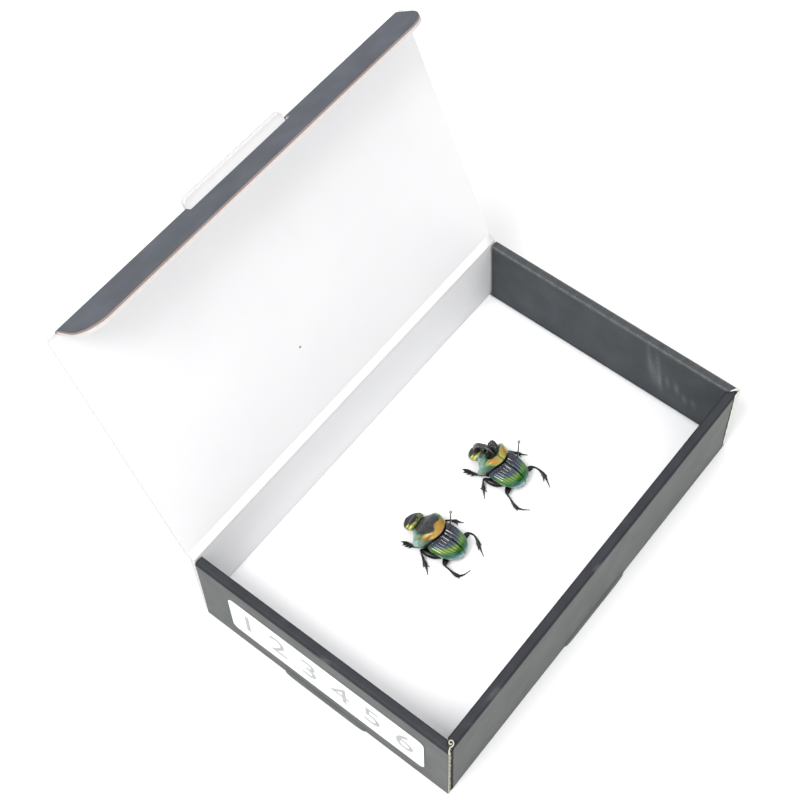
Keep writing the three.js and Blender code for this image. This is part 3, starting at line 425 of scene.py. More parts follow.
# %% [markdown]
# ## The rolled walls of the tray
# Both end walls and the front wall are made of the same sheet as the base. It goes up outside,
# over a soft double crease, and down again inside, and its tabs lock in slots in the base. So
# the section is a tall narrow arch with a dark slot in it. It is drawn once, as a line outside
# and a line inside at the board's thickness, and carried along each wall. The ends of the arch
# are cut slanting at the corners, where two rolled walls meet in a mitre.

# %% Rolled walls
LENGTH, DEPTH, HEIGHT = 150.0, 96.0, 35.2
HALF_L, HALF_D = LENGTH / 2, DEPTH / 2
BOARD, ROLL_WIDTH, SLOT_HALF = 1.38, 3.2, 0.2
EDGE_OUT, EDGE_IN = 0.9, 0.5


def arch_section():
    """Outer and inner line of the rolled wall as [in from the outer face, height], point by
    point: up the outer panel, round its shoulder, over the top and down inside."""
    rise = np.linspace(0, HEIGHT - EDGE_OUT - 0.5, 24)
    turn = np.radians(np.linspace(180, 90, 7))
    shoulder = vec(EDGE_OUT + EDGE_OUT * np.cos(turn), HEIGHT - EDGE_OUT + EDGE_OUT * np.sin(turn))
    flat = np.linspace(EDGE_OUT + 0.2, ROLL_WIDTH - EDGE_IN - 0.2, 6)
    turn = np.radians(np.linspace(90, 0, 6))
    brow = vec(ROLL_WIDTH - EDGE_IN + EDGE_IN * np.cos(turn), HEIGHT - EDGE_IN + EDGE_IN * np.sin(turn))
    fall = np.linspace(HEIGHT - EDGE_IN - 0.6, 2.2, 24)
    outer = np.concatenate([vec(rise * 0, rise), shoulder, vec(flat, flat * 0 + HEIGHT), brow,
                            vec(fall * 0 + ROLL_WIDTH, fall)])
    middle, top = ROLL_WIDTH / 2, HEIGHT - BOARD - SLOT_HALF
    arc = np.radians(np.linspace(180, 0, len(outer) - len(rise) - len(fall)))
    inner = np.concatenate([vec(rise * 0 + middle - SLOT_HALF, np.minimum(rise, top)),
        vec(middle + SLOT_HALF * np.cos(arc), top + SLOT_HALF * np.sin(arc)),
        vec(fall * 0 + middle + SLOT_HALF, np.minimum(fall, top))])
    # Each stretch of the section takes its tone: painted light on the outer panel, painted shade in the
    # shoulder crease, on the top, in the brow crease and on the inner panel.
    panels = np.repeat([OUTSIDE_PAINTED_LIGHT, CREASE_PAINTED_SHADE, TOP_PAINTED_SHADE, CREASE_PAINTED_SHADE, INSIDE_PAINTED_SHADE], [23, 6, 8, 5, len(outer) - 43])
    return outer, inner, panels


def rolled_wall(start, end, place, seed, wear):
    """The arch carried from start to end, which may differ for each point of the section, and
    wavering by a few hundredths of a millimetre as pressed card does. The last argument says where
    the ink is rubbed and, on the far wall, where it carries a painted highlight, from the way in,
    the way along and the height."""
    outer, inner, panels = arch_section()
    share = np.linspace(0, 1, 145)[:, None]
    along = start + (end - start) * share
    soft = 0.05 * uneven(along, seed, 31) - 0.05
    crease = (0.17 + 0.07 * uneven(along, seed + 1, 11)) * bump(outer[:, 0], EDGE_OUT * 0.6, 0.3)
    crease = crease * (outer[:, 1] > HEIGHT - EDGE_OUT)
    top = place(outer[:, 0] - soft * (outer[:, 0] < 0.01) * np.sin(np.pi * outer[:, 1] / HEIGHT),
                along, outer[:, 1] - crease + soft * (outer[:, 1] > HEIGHT - 0.3))
    under = place(inner[:, 0] + 0 * along, along, inner[:, 1] + 0 * along)
    step = np.hypot(*np.diff(outer, axis=0).T)
    across = np.concatenate([[0], np.cumsum(step)]) + 0 * along
    marks = {"wear": wear(outer[:, 0], along, outer[:, 1])}
    return plate(top, under, (across, along), (panels, LINING, CUT), marks)


def little_wear(a, along, z):
    """Rubbed spots along the top of the near and front walls, as card gets from handling."""
    spots = smooth(0.5, 1.0, cloudy(a * 3.0, along, 17, 29.0)) * bump(cloudy(along, a, 19, 13.0), 0.4, 0.4)
    return 0.3 * (z > HEIGHT - 1.2) * spots


# Each scuff: its place along the wall, its middle height, half its height and its depth.
FAR_SCUFFS = [(-17.2, 26, 7, 0.45), (-19.6, 21, 5, 0.4), (-20.8, 25, 7, 0.4), (-22.0, 18.5, 3.5, 0.5),
              (-24.8, 20.4, 2.5, 0.4), (-28.4, 20, 2.4, 0.5), (-31.8, 17, 2, 0.4), (-35.2, 17, 2, 0.3)]


def far_wear_and_brow_highlight(a, along, z):
    """The far wall's fold is rubbed pale all over, and a painted highlight runs along both its
    brows. Its inner face has upright scuffs near the front corner, each a bell over the way along
    and the height."""
    # Painted highlight along the inner brow and the outer shoulder, over an even pale wear.
    wear_and_brow_highlight = 0.3 + 0.6 * bump(a, ROLL_WIDTH - 0.25, 0.25) + 0.3 * bump(a, 0.4, 0.3)
    fold = (z > HEIGHT - 1.0) * wear_and_brow_highlight * (0.8 + 0.2 * uneven(along, 23, 5))
    scuffs = sum(deep * bump(along - 0.2 * (z - middle), at, 0.9) * bump(z, middle, half)
                 for at, middle, half, deep in FAR_SCUFFS)
    return np.clip(fold + scuffs * (a > 3), 0, 1)


def on_near_end(a, along, z):
    """Depth from the outer face, way along the wall and height, for the wall at -X."""
    return vec(-HALF_L + a, along, z)


def on_far_end(a, along, z):
    """The same for the wall at +X."""
    return vec(HALF_L - a, along, z)


def on_front(a, along, z):
    """The same for the front wall at -Y."""
    return vec(along, -HALF_D + a, z)


section_in = arch_section()[0][:, 0]
mitre = -HALF_D + np.maximum(section_in - 0.3, 0)
END_WALL_REACH = HALF_D - 1.1
taper = END_WALL_REACH + 0.5 - 2.0 * (section_in > 2.9) * np.linspace(0, 1, len(section_in)) ** 2
front_end = HALF_L - 1.55 - np.maximum(section_in - 1.0, 0)
for name, start, end, place, seed, wear in (
        ("near_end_wall", mitre, END_WALL_REACH, on_near_end, 3, little_wear),
        ("far_end_wall", mitre, np.minimum(taper, END_WALL_REACH), on_far_end, 5, far_wear_and_brow_highlight),
        ("front_wall", -front_end, front_end, on_front, 8, little_wear)):
    new_piece(name, [rolled_wall(start, end, place, seed, wear)], TRAY_FINISHES, ["tray"])

# %% [markdown]
# ## Base, back wall and lock tabs
# The back wall is one sheet, white inside, that leans back a little and carries the lid. The
# base is the same sheet under the foam. At the foot of each rolled wall the locking tab bulges
# out through its slot, so it is a low pillow of board with a dark line over it.

# %% Base, back wall and lock tabs
HINGE = np.array([0.0, 49.0, 35.8])
SHEET, LID_HALF = 1.6, 74.5
LOCK_HALF, LOCK_HEIGHT, TAB_PROUD = 16, 2.4, 0.6


def cut_sheet(across, first, last, rows, place, slots):
    """A sheet over a grid, from the first to the last edge, which may be functions of the way
    across. place turns the ways across, along and through the sheet into a point."""
    u, v = np.broadcast_arrays(across, first + (last - first) * np.linspace(0, 1, rows)[:, None])
    return plate(place(u, v, 0 * u), place(u, v, 0 * u + SHEET), (u, v), slots)


def on_back(u, v, w):
    """Back wall: up along a face that leans from 0 to 1 mm, depth outwards."""
    lean = v / HEIGHT
    return vec(u, HALF_D - SHEET + lean + w, v)


def pillow(place, middle):
    """A lock tab: proud of the wall at its foot, rounded to nothing at its top and sides."""
    s, t = np.meshgrid(np.linspace(-1, 1, 41), np.linspace(0, 1, 13))
    out = TAB_PROUD * np.maximum(1 - np.abs(s) ** 10, 0) ** 0.5 * np.maximum(1 - t ** 3, 0) ** 0.5
    along, up = middle + LOCK_HALF * s, 0.02 + LOCK_HEIGHT * t
    return plate(place(-out, along, up), place(0.4, along, up))


new_piece("back_wall", [cut_sheet(np.linspace(-LID_HALF, LID_HALF, 61), 0, HEIGHT, 13, on_back,
                                  (0, 1, 2))], LID_FINISHES, ["tray"], soft=False)
new_piece("base", [cut_sheet(np.linspace(-HALF_L + 0.05, HALF_L - 0.05, 31), -HALF_D + 0.05,
                             HALF_D - 0.8, 21, vec, (OUTSIDE_PAINTED_LIGHT, LINING, CUT))],
          TRAY_FINISHES, ["tray"], soft=False)
new_piece("lock_tabs", [pillow(on_near_end, -0.8), pillow(on_far_end, -0.8), pillow(on_front, 0.0)],
          [board_outside_painted_light], ["tray"])

# %% [markdown]
# ## Lid and tuck flap
# The lid is a single sheet hinged on the back wall's crease, white inside and black outside. A
# small tab was cut out of the tuck flap and stands up in line with the lid, and the flap is
# folded in behind it. Both sheets are grids whose far edge is a function of the way across, so
# that tab, notch and rounded corners come from one formula and the sheet stays one piece.

# %% Lid and tuck flap
LID_OPEN, FLAP_FOLD = np.radians([112.8, 77.0])
LID_START, LID_LENGTH = 1.6, 90.2
TAB_HALF, TAB_LENGTH, TAB_CORNER = 20.4, 4.0, 1.6
FLAP_START, FLAP_LENGTH, FLAP_HALF, FLAP_CORNER = 1.0, 16.5, 71.2, 9.0
NOTCH_HALF, NOTCH_DEPTH = 20.9, 2.2

lid_away = np.array([0, -np.cos(LID_OPEN), np.sin(LID_OPEN)])
lid_out = np.array([0, np.sin(LID_OPEN), np.cos(LID_OPEN)])
flap_away = lid_away * np.cos(FLAP_FOLD) - lid_out * np.sin(FLAP_FOLD)
flap_out = lid_out * np.cos(FLAP_FOLD) + lid_away * np.sin(FLAP_FOLD)
fold_line = HINGE + LID_LENGTH * lid_away


def on_sheet(origin, away, out):
    """Places a point by its way across, its way from the fold and its depth outwards."""
    side = np.array([1.0, 0, 0])
    return lambda u, v, w: origin + u[..., None] * side + v[..., None] * away + w[..., None] * out


on_lid = on_sheet(HINGE, lid_away, lid_out)
on_flap = on_sheet(fold_line, flap_away, flap_out)


def round_corner(u, half, radius):
    """How much shorter the sheet is at u, next to a corner of that radius at half."""
    into = np.clip(np.abs(u) - (half - radius), 0, radius)
    return radius - np.sqrt(np.maximum(radius ** 2 - into ** 2, 0))


def cut_lines(half, count, beside, corner_half, corner, steps):
    """Places across a sheet: even ones, two close to the side of the tab or notch, and some
    round each corner's arc."""
    arc = corner_half - corner * (1 - np.cos(np.linspace(0, np.pi / 2, steps)))
    cut = beside + np.array([-0.01, 0.01])
    return np.unique(np.concatenate([np.linspace(-half, half, count), cut, -cut, arc, -arc]).round(4))


lid_across = cut_lines(LID_HALF, 61, TAB_HALF, TAB_HALF, TAB_CORNER, 6)
on_tab = np.abs(lid_across) <= TAB_HALF
lid_far = LID_LENGTH + on_tab * (TAB_LENGTH - round_corner(lid_across, TAB_HALF, TAB_CORNER))
new_piece("lid_sheet", [cut_sheet(lid_across, LID_START, lid_far, 41, on_lid, (0, 1, 2))],
          LID_FINISHES, ["lid"], "lid_body", False)

flap_across = cut_lines(FLAP_HALF, 57, NOTCH_HALF, FLAP_HALF, FLAP_CORNER, 12)
flap_near = FLAP_START + NOTCH_DEPTH * (np.abs(flap_across) <= NOTCH_HALF)
flap_far = FLAP_LENGTH - round_corner(flap_across, FLAP_HALF, FLAP_CORNER)
new_piece("tuck_flap_sheet", [cut_sheet(flap_across, flap_near, flap_far, 13, on_flap, (0, 1, 2))],
          FLAP_FINISHES, ["tuck_flap"], "flap_body", False)

# %% [markdown]
# ## The creases at the folds
# Card bends at a pressed line. On the real box one strip of board runs on from the back wall
# into the lid, and one from the lid into the flap. Each is a narrow piece of sheet here, built
# where the lid stands now and tied to no body.

# %% Creases


def crease_strip(across, near, far, near_out, far_out, sag):
    """A strip of sheet from two edges on one body to two on the other. Both faces run straight
    from edge to edge, and the outer one bulges by sag in the middle."""
    share = np.linspace(0, 1, 9)[:, None, None]
    x = across[None, :, None] * np.array([1.0, 0, 0])
    swell = np.sin(np.pi * share)
    middle = unit((near_out + far_out) / 2 - (near + far) / 2)
    inner = x + near + (far - near) * share - 0.15 * swell * middle
    outer = x + near_out + (far_out - near_out) * share + sag * swell * middle
    lengths = (across[None, :] + 0 * share[..., 0], share[..., 0] * 2 + 0 * across[None, :])
    return plate(inner, outer, lengths, (0, 1, 2))


wall_in, wall_out = np.array([0, HALF_D + 1 - SHEET, HEIGHT]), np.array([0, HALF_D + 1, HEIGHT])
lid_in = HINGE + LID_START * lid_away
lid_crease = new_piece(
    "lid_crease", [crease_strip(np.linspace(-LID_HALF, LID_HALF, 31), wall_in, lid_in, wall_out,
                                lid_in + SHEET * lid_out, 0.25)], LID_FINISHES, body=None)
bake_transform(lid_crease)

flap_in = fold_line + FLAP_START * flap_away
flap_crease = new_piece(
    "flap_creases", [crease_strip(np.linspace(a, b, 15), fold_line, flap_in,
                                  fold_line + SHEET * lid_out, flap_in + SHEET * flap_out, 0.3)
                     for a, b in ((-FLAP_HALF, -NOTCH_HALF), (NOTCH_HALF, FLAP_HALF))],
    FLAP_FINISHES, body=None)
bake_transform(flap_crease)

# %% [markdown]
# ## Foam
# The pinning foam is a white closed-cell sheet, PE or similar, cut a little too large and
# pressed in, so that it bows up by a tenth of a millimetre and meets the walls without a gap.
# A plain block would do for its form, but the dimples round the pins and the soft rim are what
# tell the eye that it is foam.

# %% Foam
FOAM_TOP, FOAM_UNDER = 8.5, 1.9
FOAM_EDGES = (-71.75, 71.75, -44.75, 46.55)
PIN_HOLES = [(-11.7, -0.2), (22.4, -1.2)]
foam_finish, tree, shader, place = new_finish("white_closed_cell_foam", Base_Color="#fcfcfd",
                                              Roughness=0.85, IOR=1.45, Specular_IOR_Level=0.2)
# Cells 0.45 mm wide give a dull white with a sparkle too fine to see from here.
cells = add_node(tree, "TexVoronoi", {"mm": 0.45, "Vector": place})
pores = add_node(tree, "Bump", {"Strength": 0.35, "Distance": 0.05 * MM,
                                "Height": cells.outputs["Distance"]})
connect(tree, shader, "Normal", pores)


def pinning_foam(pins):
    """A plate whose top is flat but for a rounded rim and a dimple round each pin."""
    x0, x1, y0, y1 = FOAM_EDGES
    dimple, rim = np.linspace(-1.6, 1.6, 17), np.array([0.1, 0.3, 0.6])
    lines = [np.unique(np.concatenate([np.linspace(low, high, count), low + rim, high - rim,
                                       *[pin[axis] + dimple for pin in pins]]).round(3))
             for axis, low, high, count in ((0, x0, x1, 73), (1, y0, y1, 49))]
    x, y = np.meshgrid(*lines)
    to_edge = np.minimum(np.minimum(x - x0, x1 - x), np.minimum(y - y0, y1 - y))
    top = FOAM_TOP - 0.35 * bump(to_edge, 0, 0.35)
    for pin_x, pin_y in pins:
        top = top - 0.3 * bump(np.hypot(x - pin_x, y - pin_y), 0, 0.5)
    return plate(vec(x, y, top), vec(x, y, 0 * x + FOAM_UNDER), (x, y))


new_piece("pinning_foam", [pinning_foam(PIN_HOLES)], [foam_finish], ["foam_sheet"])

# %% [markdown]
# ## Label
# The label is a white paper sticker with rounded corners, which lifts a hair at its rim. Its
# print is a plain row of counting numbers in light grey. They are thin raised shapes: a
# picture would be quicker, but shapes stay sharp and can be changed by typing.

# %% Label
LABEL_Y0, LABEL_Y1, LABEL_Z0, LABEL_Z1, LABEL_CORNER = -39.2, 35.0, 7.2, 27.0, 2.2
# A cloud of 6 mm and a fine tooth give the calm, faintly warm white of uncoated paper.
paper_finish = two_tone(
    new_finish("smooth_white_sticker_paper", Roughness=0.5, IOR=1.5, Specular_IOR_Level=0.35),
    ("#f7f7f7", "#ebebec"), 6, relief=(0.4, 0.01), tooth=0.3)
# Toner on paper breaks up a little: a grain of 0.4 mm makes the grey look printed.
grey_print = two_tone(new_finish("light_grey_label_print", Roughness=0.6, IOR=1.5),
                      ("#9c9d9e", "#b4b5b6"), 0.4)

LABEL_X = -75.25
bend = LABEL_CORNER * (1 - np.cos(np.linspace(0, np.pi / 2, 7)))
label_along = np.unique(np.concatenate([LABEL_Y0 + bend, np.linspace(LABEL_Y0 + 3, LABEL_Y1 - 3, 25),
                                        LABEL_Y1 - bend]).round(4))
short = round_corner(label_along - (LABEL_Y0 + LABEL_Y1) / 2, (LABEL_Y1 - LABEL_Y0) / 2, LABEL_CORNER)
y, z = np.broadcast_arrays(label_along, LABEL_Z0 + short + (LABEL_Z1 - LABEL_Z0 - 2 * short)
                           * np.linspace(0, 1, 9)[:, None])
new_piece("paper_label", [plate(vec(LABEL_X + 0.05, y, z), vec(LABEL_X + 0.2, y, z), (y, z))],
          [paper_finish], ["label"], soft=False)
NUMBER_SIZE, NUMBER_RELIEF, NUMBER_Z = 15.0, 0.05, 17.1
NUMBER_FIRST_Y, NUMBER_STEP = 28.0, 12.0


def flat_number(text, height, thickness):
    """A number as a mesh in its own plane: reading along +X, up +Y, standing thickness high."""
    curve = bpy.data.curves.new("number_" + text, "FONT")
    curve.body, curve.size, curve.extrude = text, height, thickness / 2
    curve.align_x, curve.align_y = "CENTER", "CENTER"
    holder = put_in_scene("number_" + text, curve)
    bpy.context.view_layer.update()
    mesh = bpy.data.meshes.new_from_object(holder.evaluated_get(bpy.context.evaluated_depsgraph_get()))
    bpy.data.objects.remove(holder)
    return mesh


def stuck_on_label(mesh, y):
    """Turns a flat number to the near end wall, where reading runs towards -Y and up is +Z."""
    count = len(mesh.vertices)
    flat = np.empty(count * 3, np.float32)
    mesh.vertices.foreach_get("co", flat)
    a, b, c = flat.reshape(-1, 3).T
    placed = vec(LABEL_X + 0.03 - c, y - a, NUMBER_Z + b) * MM
    mesh.vertices.foreach_set("co", placed.astype(np.float32).ravel())
    mesh.update()
    return mesh


for place, number in enumerate("123456"):
    mesh = stuck_on_label(flat_number(number, NUMBER_SIZE, NUMBER_RELIEF),
                          NUMBER_FIRST_Y - NUMBER_STEP * place)
    mesh.materials.append(grey_print)
    piece = put_in_scene("label_number_" + number, mesh)
    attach(piece, "tray_body")
print("label numbers set")

# %% [markdown]
# ## Beetle cuticle
# A beetle's shell is chitin, a natural plastic with an IOR of about 1.56, laid down in thin
# layers that mirror one colour: it looks like tinted metal under clear varnish. So each
# coloured shell here is part metal, with a clear coat, and the colour runs across the piece
# from marks that its mesh carries. Black cuticle is the same without the mirror layers.

# %% Wing case finish


def cuticle(name, roughness, metallic, coat=0.8, coat_roughness=0.12, shine=0.35):
    """Layered chitin: IOR 1.56, part metallic where it is iridescent, under a clear coat.
    shine is how much the layer below the coat mirrors by itself."""
    return new_finish(name, Roughness=roughness, Metallic=metallic, IOR=1.56,
                      Specular_IOR_Level=shine, Coat_Weight=coat, Coat_Roughness=coat_roughness,
                      Coat_IOR=1.7)


wing_finish, tree, shader, place = cuticle("iridescent_wing_case", 0.4, 0.45, 1.0, 0.07, 0.05)
# Seen from the front edge to the tip: blue-black, then bright green with a yellow streak on
# each rib, then teal, which turns pale blue-grey at the very tip as a painted reflection. The
# coat draws one hard white line along every rib.
band, gold, groove = [add_node(tree, "Attribute", {"attribute_name": name}).outputs["Fac"]
                      for name in ("band", "gold", "groove")]
colour = add_node(tree, "ValToRGB", {"Fac": band, "stops": [
    (0.0, "#080a14"), (0.36, "#0a142e"), (0.48, "#10304e"), (0.55, "#0f4434"), (0.63, "#186a1c"),
    (0.76, "#267a1a"), (0.86, "#17602c"), (0.93, "#256a5c"), (0.98, "#4a8580"), (1.0, "#7ba19e")]})
colour = add_node(tree, "Mix", {7: "#9aa010", 0: gold, 6: colour})
# Painted shade: the grooves between the ribs, the seam and the front edge under the shield are darkened
# nearly to black.
shade = add_node(tree, "Math", {"operation": "MULTIPLY", 1: 0.88, 0: groove})
colour = add_node(tree, "Mix", {7: "#05070a", 0: shade, 6: colour})
skin = add_node(tree, "TexNoise", {"mm": 0.12, "Vector": place})
hills = add_node(tree, "Bump", {"Strength": 0.4, "Distance": 0.008 * MM, "Height": skin})
connect(tree, shader, "Base Color", colour)
connect(tree, shader, "Normal", hills)
print("wing case finish:", wing_finish.name)

# %% [markdown]
# ## Wing cases
# The two hard fore wings lie together as one dome, each with seven long ribs and fine grooves
# between, dotted with pits. The dome is a function of the way back and the way out from the
# seam, and the ribs are added to its radius. A plain bump map could fake them, but real ribs
# break the highlight into the fine streaks that the photo shows.

# %% Wing cases
FEMALE = {"at": (-14.6, 0.0), "turn": 4.0, "male": False, "pin": (*PIN_HOLES[0], 28.0)}
MALE = {"at": (17.7, 0.0), "turn": 1.5, "male": True, "pin": (*PIN_HOLES[1], 25.2)}
BEETLES = {"female": FEMALE, "male": MALE}
RIM, CREST, FRONT, WING_LENGTH, WING_HALF = 3.5, 8.4, 0.4, 8.2, 5.65
RIBS, REAR_ARCH, WING_THICK, HALF_SEAM = 7, 3.1, 0.5, 0.08


def stand(points, beetle):
    """Turns a beetle's points about the upright axis and sets them on the foam in the box."""
    c, s = np.cos(np.radians(beetle["turn"])), np.sin(np.radians(beetle["turn"]))
    x, y, z = points[..., 0], points[..., 1], points[..., 2]
    return vec(c * x - s * y + beetle["at"][0], s * x + c * y + beetle["at"][1], z + FOAM_TOP)


def wing_dome(s, v, inset):
    """The dome of both wing cases: s from the front edge to the tip, v from the seam to the rim,
    negative on the left. Its width swells at the shoulder and closes like a blunt egg."""
    shoulder = 0.91 + 0.09 * smooth(0, 0.22, s)
    half = (WING_HALF - inset) * shoulder * np.maximum(1 - s ** 3, 0) ** 0.46
    crest = RIM + (CREST - inset - RIM) * np.maximum(1 - s ** 2.8, 0) ** 0.6
    a = np.abs(v) * np.pi / 2
    x = np.sign(v) * half * np.sin(a) ** 0.88
    z = RIM - 0.3 * s + (crest - RIM) * np.maximum(np.cos(a), 0) ** 0.78
    y = FRONT - WING_LENGTH * s + REAR_ARCH * (x / WING_HALF) ** 2 * (1 - s)
    return vec(x, y, z)


def wing_colours(s, v, side, beetle):
    """Marks of the colour: band is the way from the middle of the front edge to the tip, as a
    distance over s and v, and gold is a thin crescent on it, stronger on the left. The green
    comes forward along the rim most on the female's left wing case."""
    reach = 0.52 if side > 0 else 0.64 if beetle["male"] else 0.8
    band = np.sqrt(s ** 2 + (reach * v) ** 2) - 0.08 * bump(v, 0, 0.12)
    band = band * (1 - 0.3 * smooth(0.5, 1, v) * smooth(0.3, 0.0, s))
    band = band + 0.025 * cloudy(s * WING_LENGTH, side * v * 6, 61 + beetle["male"], 3.2)
    ribs = 0.35 + 0.65 * np.abs(np.sin(np.pi * RIBS * v)) ** 1.5
    strength = (0.75 if side < 0 else 0.35) * (0.6 if beetle["male"] else 1.0)
    gold = strength * bump(band, 0.68, 0.085) * smooth(0.0, 0.12, v) * (1 - 0.6 * smooth(0.6, 0.9, v))
    return {"band": np.clip(band, 0, 1), "gold": np.clip(gold * ribs, 0, 1)}


def wing_case(side, beetle):
    """One wing case: a plate between the ribbed dome and a smooth one further in."""
    s, v = np.meshgrid(np.sin(np.linspace(0, np.radians(86.5), 110)),
                       np.linspace(0.012, 1.0, RIBS * 12 + 1), indexing="ij")
    wave = np.abs(np.sin(np.pi * RIBS * v))
    fade = (1 - 0.45 * s) * smooth(0, 0.03, s) * smooth(0, 0.05, 1.0 - s)
    pits = bump(wave, 0, 0.25) * (0.5 + 0.5 * np.cos(2 * np.pi * s * WING_LENGTH / 0.42))
    height = (0.34 * wave - 0.2) * fade - 0.06 * pits * fade
    lip = 0.1 * bump(s, 0.0, 0.02)
    top = wing_dome(s, side * v, lip - height * smooth(0, 0.02, v) * smooth(0, 0.03, 1 - v))
    under = wing_dome(s, side * v, WING_THICK)
    for face in (top, under):
        face[..., 0] = side * np.maximum(side * face[..., 0], HALF_SEAM)
    # Where the painted shade falls: in the grooves, at the front edge and along the seam.
    groove = bump(wave, 0, 0.32) * fade + bump(s, 0, 0.035) + 0.7 * bump(v, 0, 0.03)
    marks = {**wing_colours(s, v, side, beetle), "groove": np.clip(groove, 0, 1)}
    return plate(stand(top, beetle), stand(under, beetle), marks=marks)


for name, beetle in BEETLES.items():
    for word, side in (("left", -1), ("right", 1)):
        new_piece(f"{name}_{word}_wing_case", [wing_case(side, beetle)], [wing_finish],
                  [f"{name}_{word}_elytron"])

# %% [markdown]
# ## Hind body
# Below the wing cases the belly hangs between the legs, black and ringed. It shows only from
# the side and from low down. A second dome under the first, with the rings pressed into its
# lower face, is enough.

# %% Hind body
# Nearly black with a short soft shine, broken by a tooth of 0.15 mm as bristly legs are.
black_finish = two_tone(cuticle("black_leg_and_belly_cuticle", 0.4, 0.0, 0.12, 0.15, 0.2),
                        ("#020202", "#080808"), 1.2, relief=(0.5, 0.015), tooth=0.15)
BELLY = 1.3


def hind_body(beetle):
    """A plate between a dome 0.9 mm inside the wing cases and a bowl with five pressed rings."""
    s, v = np.meshgrid(0.03 + 0.97 * np.sin(np.linspace(0, np.radians(80), 50)),
                       np.linspace(-1, 1, 41), indexing="ij")
    v = np.where(np.abs(v) < 1e-9, 1e-6, v)
    top = wing_dome(s, v, 0.9)
    bowl = np.maximum(np.cos(v * np.pi / 2), 0) ** 0.6 * np.maximum(1 - s ** 4, 0) ** 0.5
    rings = 0.12 * bump(np.abs(np.sin(np.pi * 5 * s)), 0, 0.2) * bowl
    under = top.copy()
    under[..., 2] = RIM - 0.7 - (RIM - 0.7 - BELLY) * bowl + rings
    return plate(stand(top, beetle), stand(under, beetle))


for name, beetle in BEETLES.items():
    new_piece(f"{name}_hind_body", [hind_body(beetle)], [black_finish], [f"{name}_body"])

# %% [markdown]
# ## Shield of the fore body
# The pronotum is the big shield behind the head. The female's is a plain dome with a dull
# black disc in front, an ochre band behind it and green flanks, which a painted reflection makes
# pale towards their edges. The male's is hollowed out in front between two black prongs, with
# an orange oval on each side, and flanks painted pale in the same way. The shape is a row of
# rings from the rear margin to the neck, and the marks that colour it are functions of the same
# two parameters, so that colour and relief always fit each other.

# %% Shield shape
SHIELD_LENGTH, SHIELD_HALF = {False: 8.9, True: 8.1}, 6.45


def shield(beetle, rows=120, sides=168):
    """Rings whose half width, top, rim and bottom change with t from the rear margin to the
    neck, as powers of sine and cosine. It returns the points, u, t and where marks show."""
    male = beetle["male"]
    length = SHIELD_LENGTH[male]
    t = np.linspace(0, 1, rows)[:, None]
    a = np.linspace(0, 2 * np.pi, sides, endpoint=False)[None, :]
    c, q = np.cos(a), np.sin(a)
    narrowed = 0.54 * smooth(0.34, 1.04, t) ** 1.2 if male else 0.46 * smooth(0.5, 1.04, t) ** 1.4
    half = SHIELD_HALF * (0.87 + 0.13 * smooth(-0.05, 0.36, t)) * (1 - narrowed)
    edge = smooth(0, 0.025, t) * smooth(0, 0.02, 1 - t)
    half = half * (0.985 + 0.015 * edge)
    slope = 0.8 if male else 0.66
    top = RIM + (5.0 + 0.9 * np.sin(np.pi * np.minimum(1, t * 1.25))) * (1 - slope * t ** 3) ** 0.7
    top = top - 0.12 * (1 - edge)
    rim = RIM + 0.5 - 1.2 * smooth(0, 0.5, t) + 1.5 * smooth(0.55, 1, t)
    bottom = BELLY + 0.1 + 1.9 * smooth(0.5, 1, t)
    x = half * np.sign(c) * np.abs(c) ** 0.85
    z = np.where(q >= 0, rim + (top - rim) * np.abs(q) ** 0.8, rim - (rim - bottom) * np.abs(q) ** 0.8)
    y = FRONT + 0.3 + length * t + REAR_ARCH * (x / WING_HALF) ** 2 * (1 - t)
    upper = smooth(0.0, 0.16, q)
    shown = smooth(-0.22, -0.06, q) + 0 * t
    if male:
        hollow = np.exp(-((x / 2.1) ** 4)) * smooth(0.32, 0.6, t)
        ring = (((np.abs(x) - 2.95) / 1.5) ** 6 + ((t - 0.745) / 0.135) ** 6) ** (1 / 6)
        prong = smooth(1.2, 0.8, ring) * upper
        teeth = 0.3 * prong ** 2 * cloudy(x, y, 35, 1.5)
        cheek = 0.35 * (bump(x, -3.4, 1.7) + bump(x, 3.4, 1.7)) * bump(t, 0.24, 0.14)
        sunk = 3.0 * hollow * (1 - prong) * (1 - 0.7 * smooth(0.8, 1, t))
        z = z + (8.4 - z) * prong + (teeth + cheek - sunk) * upper
        y = y + 0.9 * prong
    else:
        dent = 0.3 * bump(x, -3.3, 0.5) * bump(t, 0.16, 0.05)
        z = z + (0.05 * cloudy(x, y, 11, 3.1) - dent) * upper
    return vec(x, y, z), x / half, t + 0 * x, shown


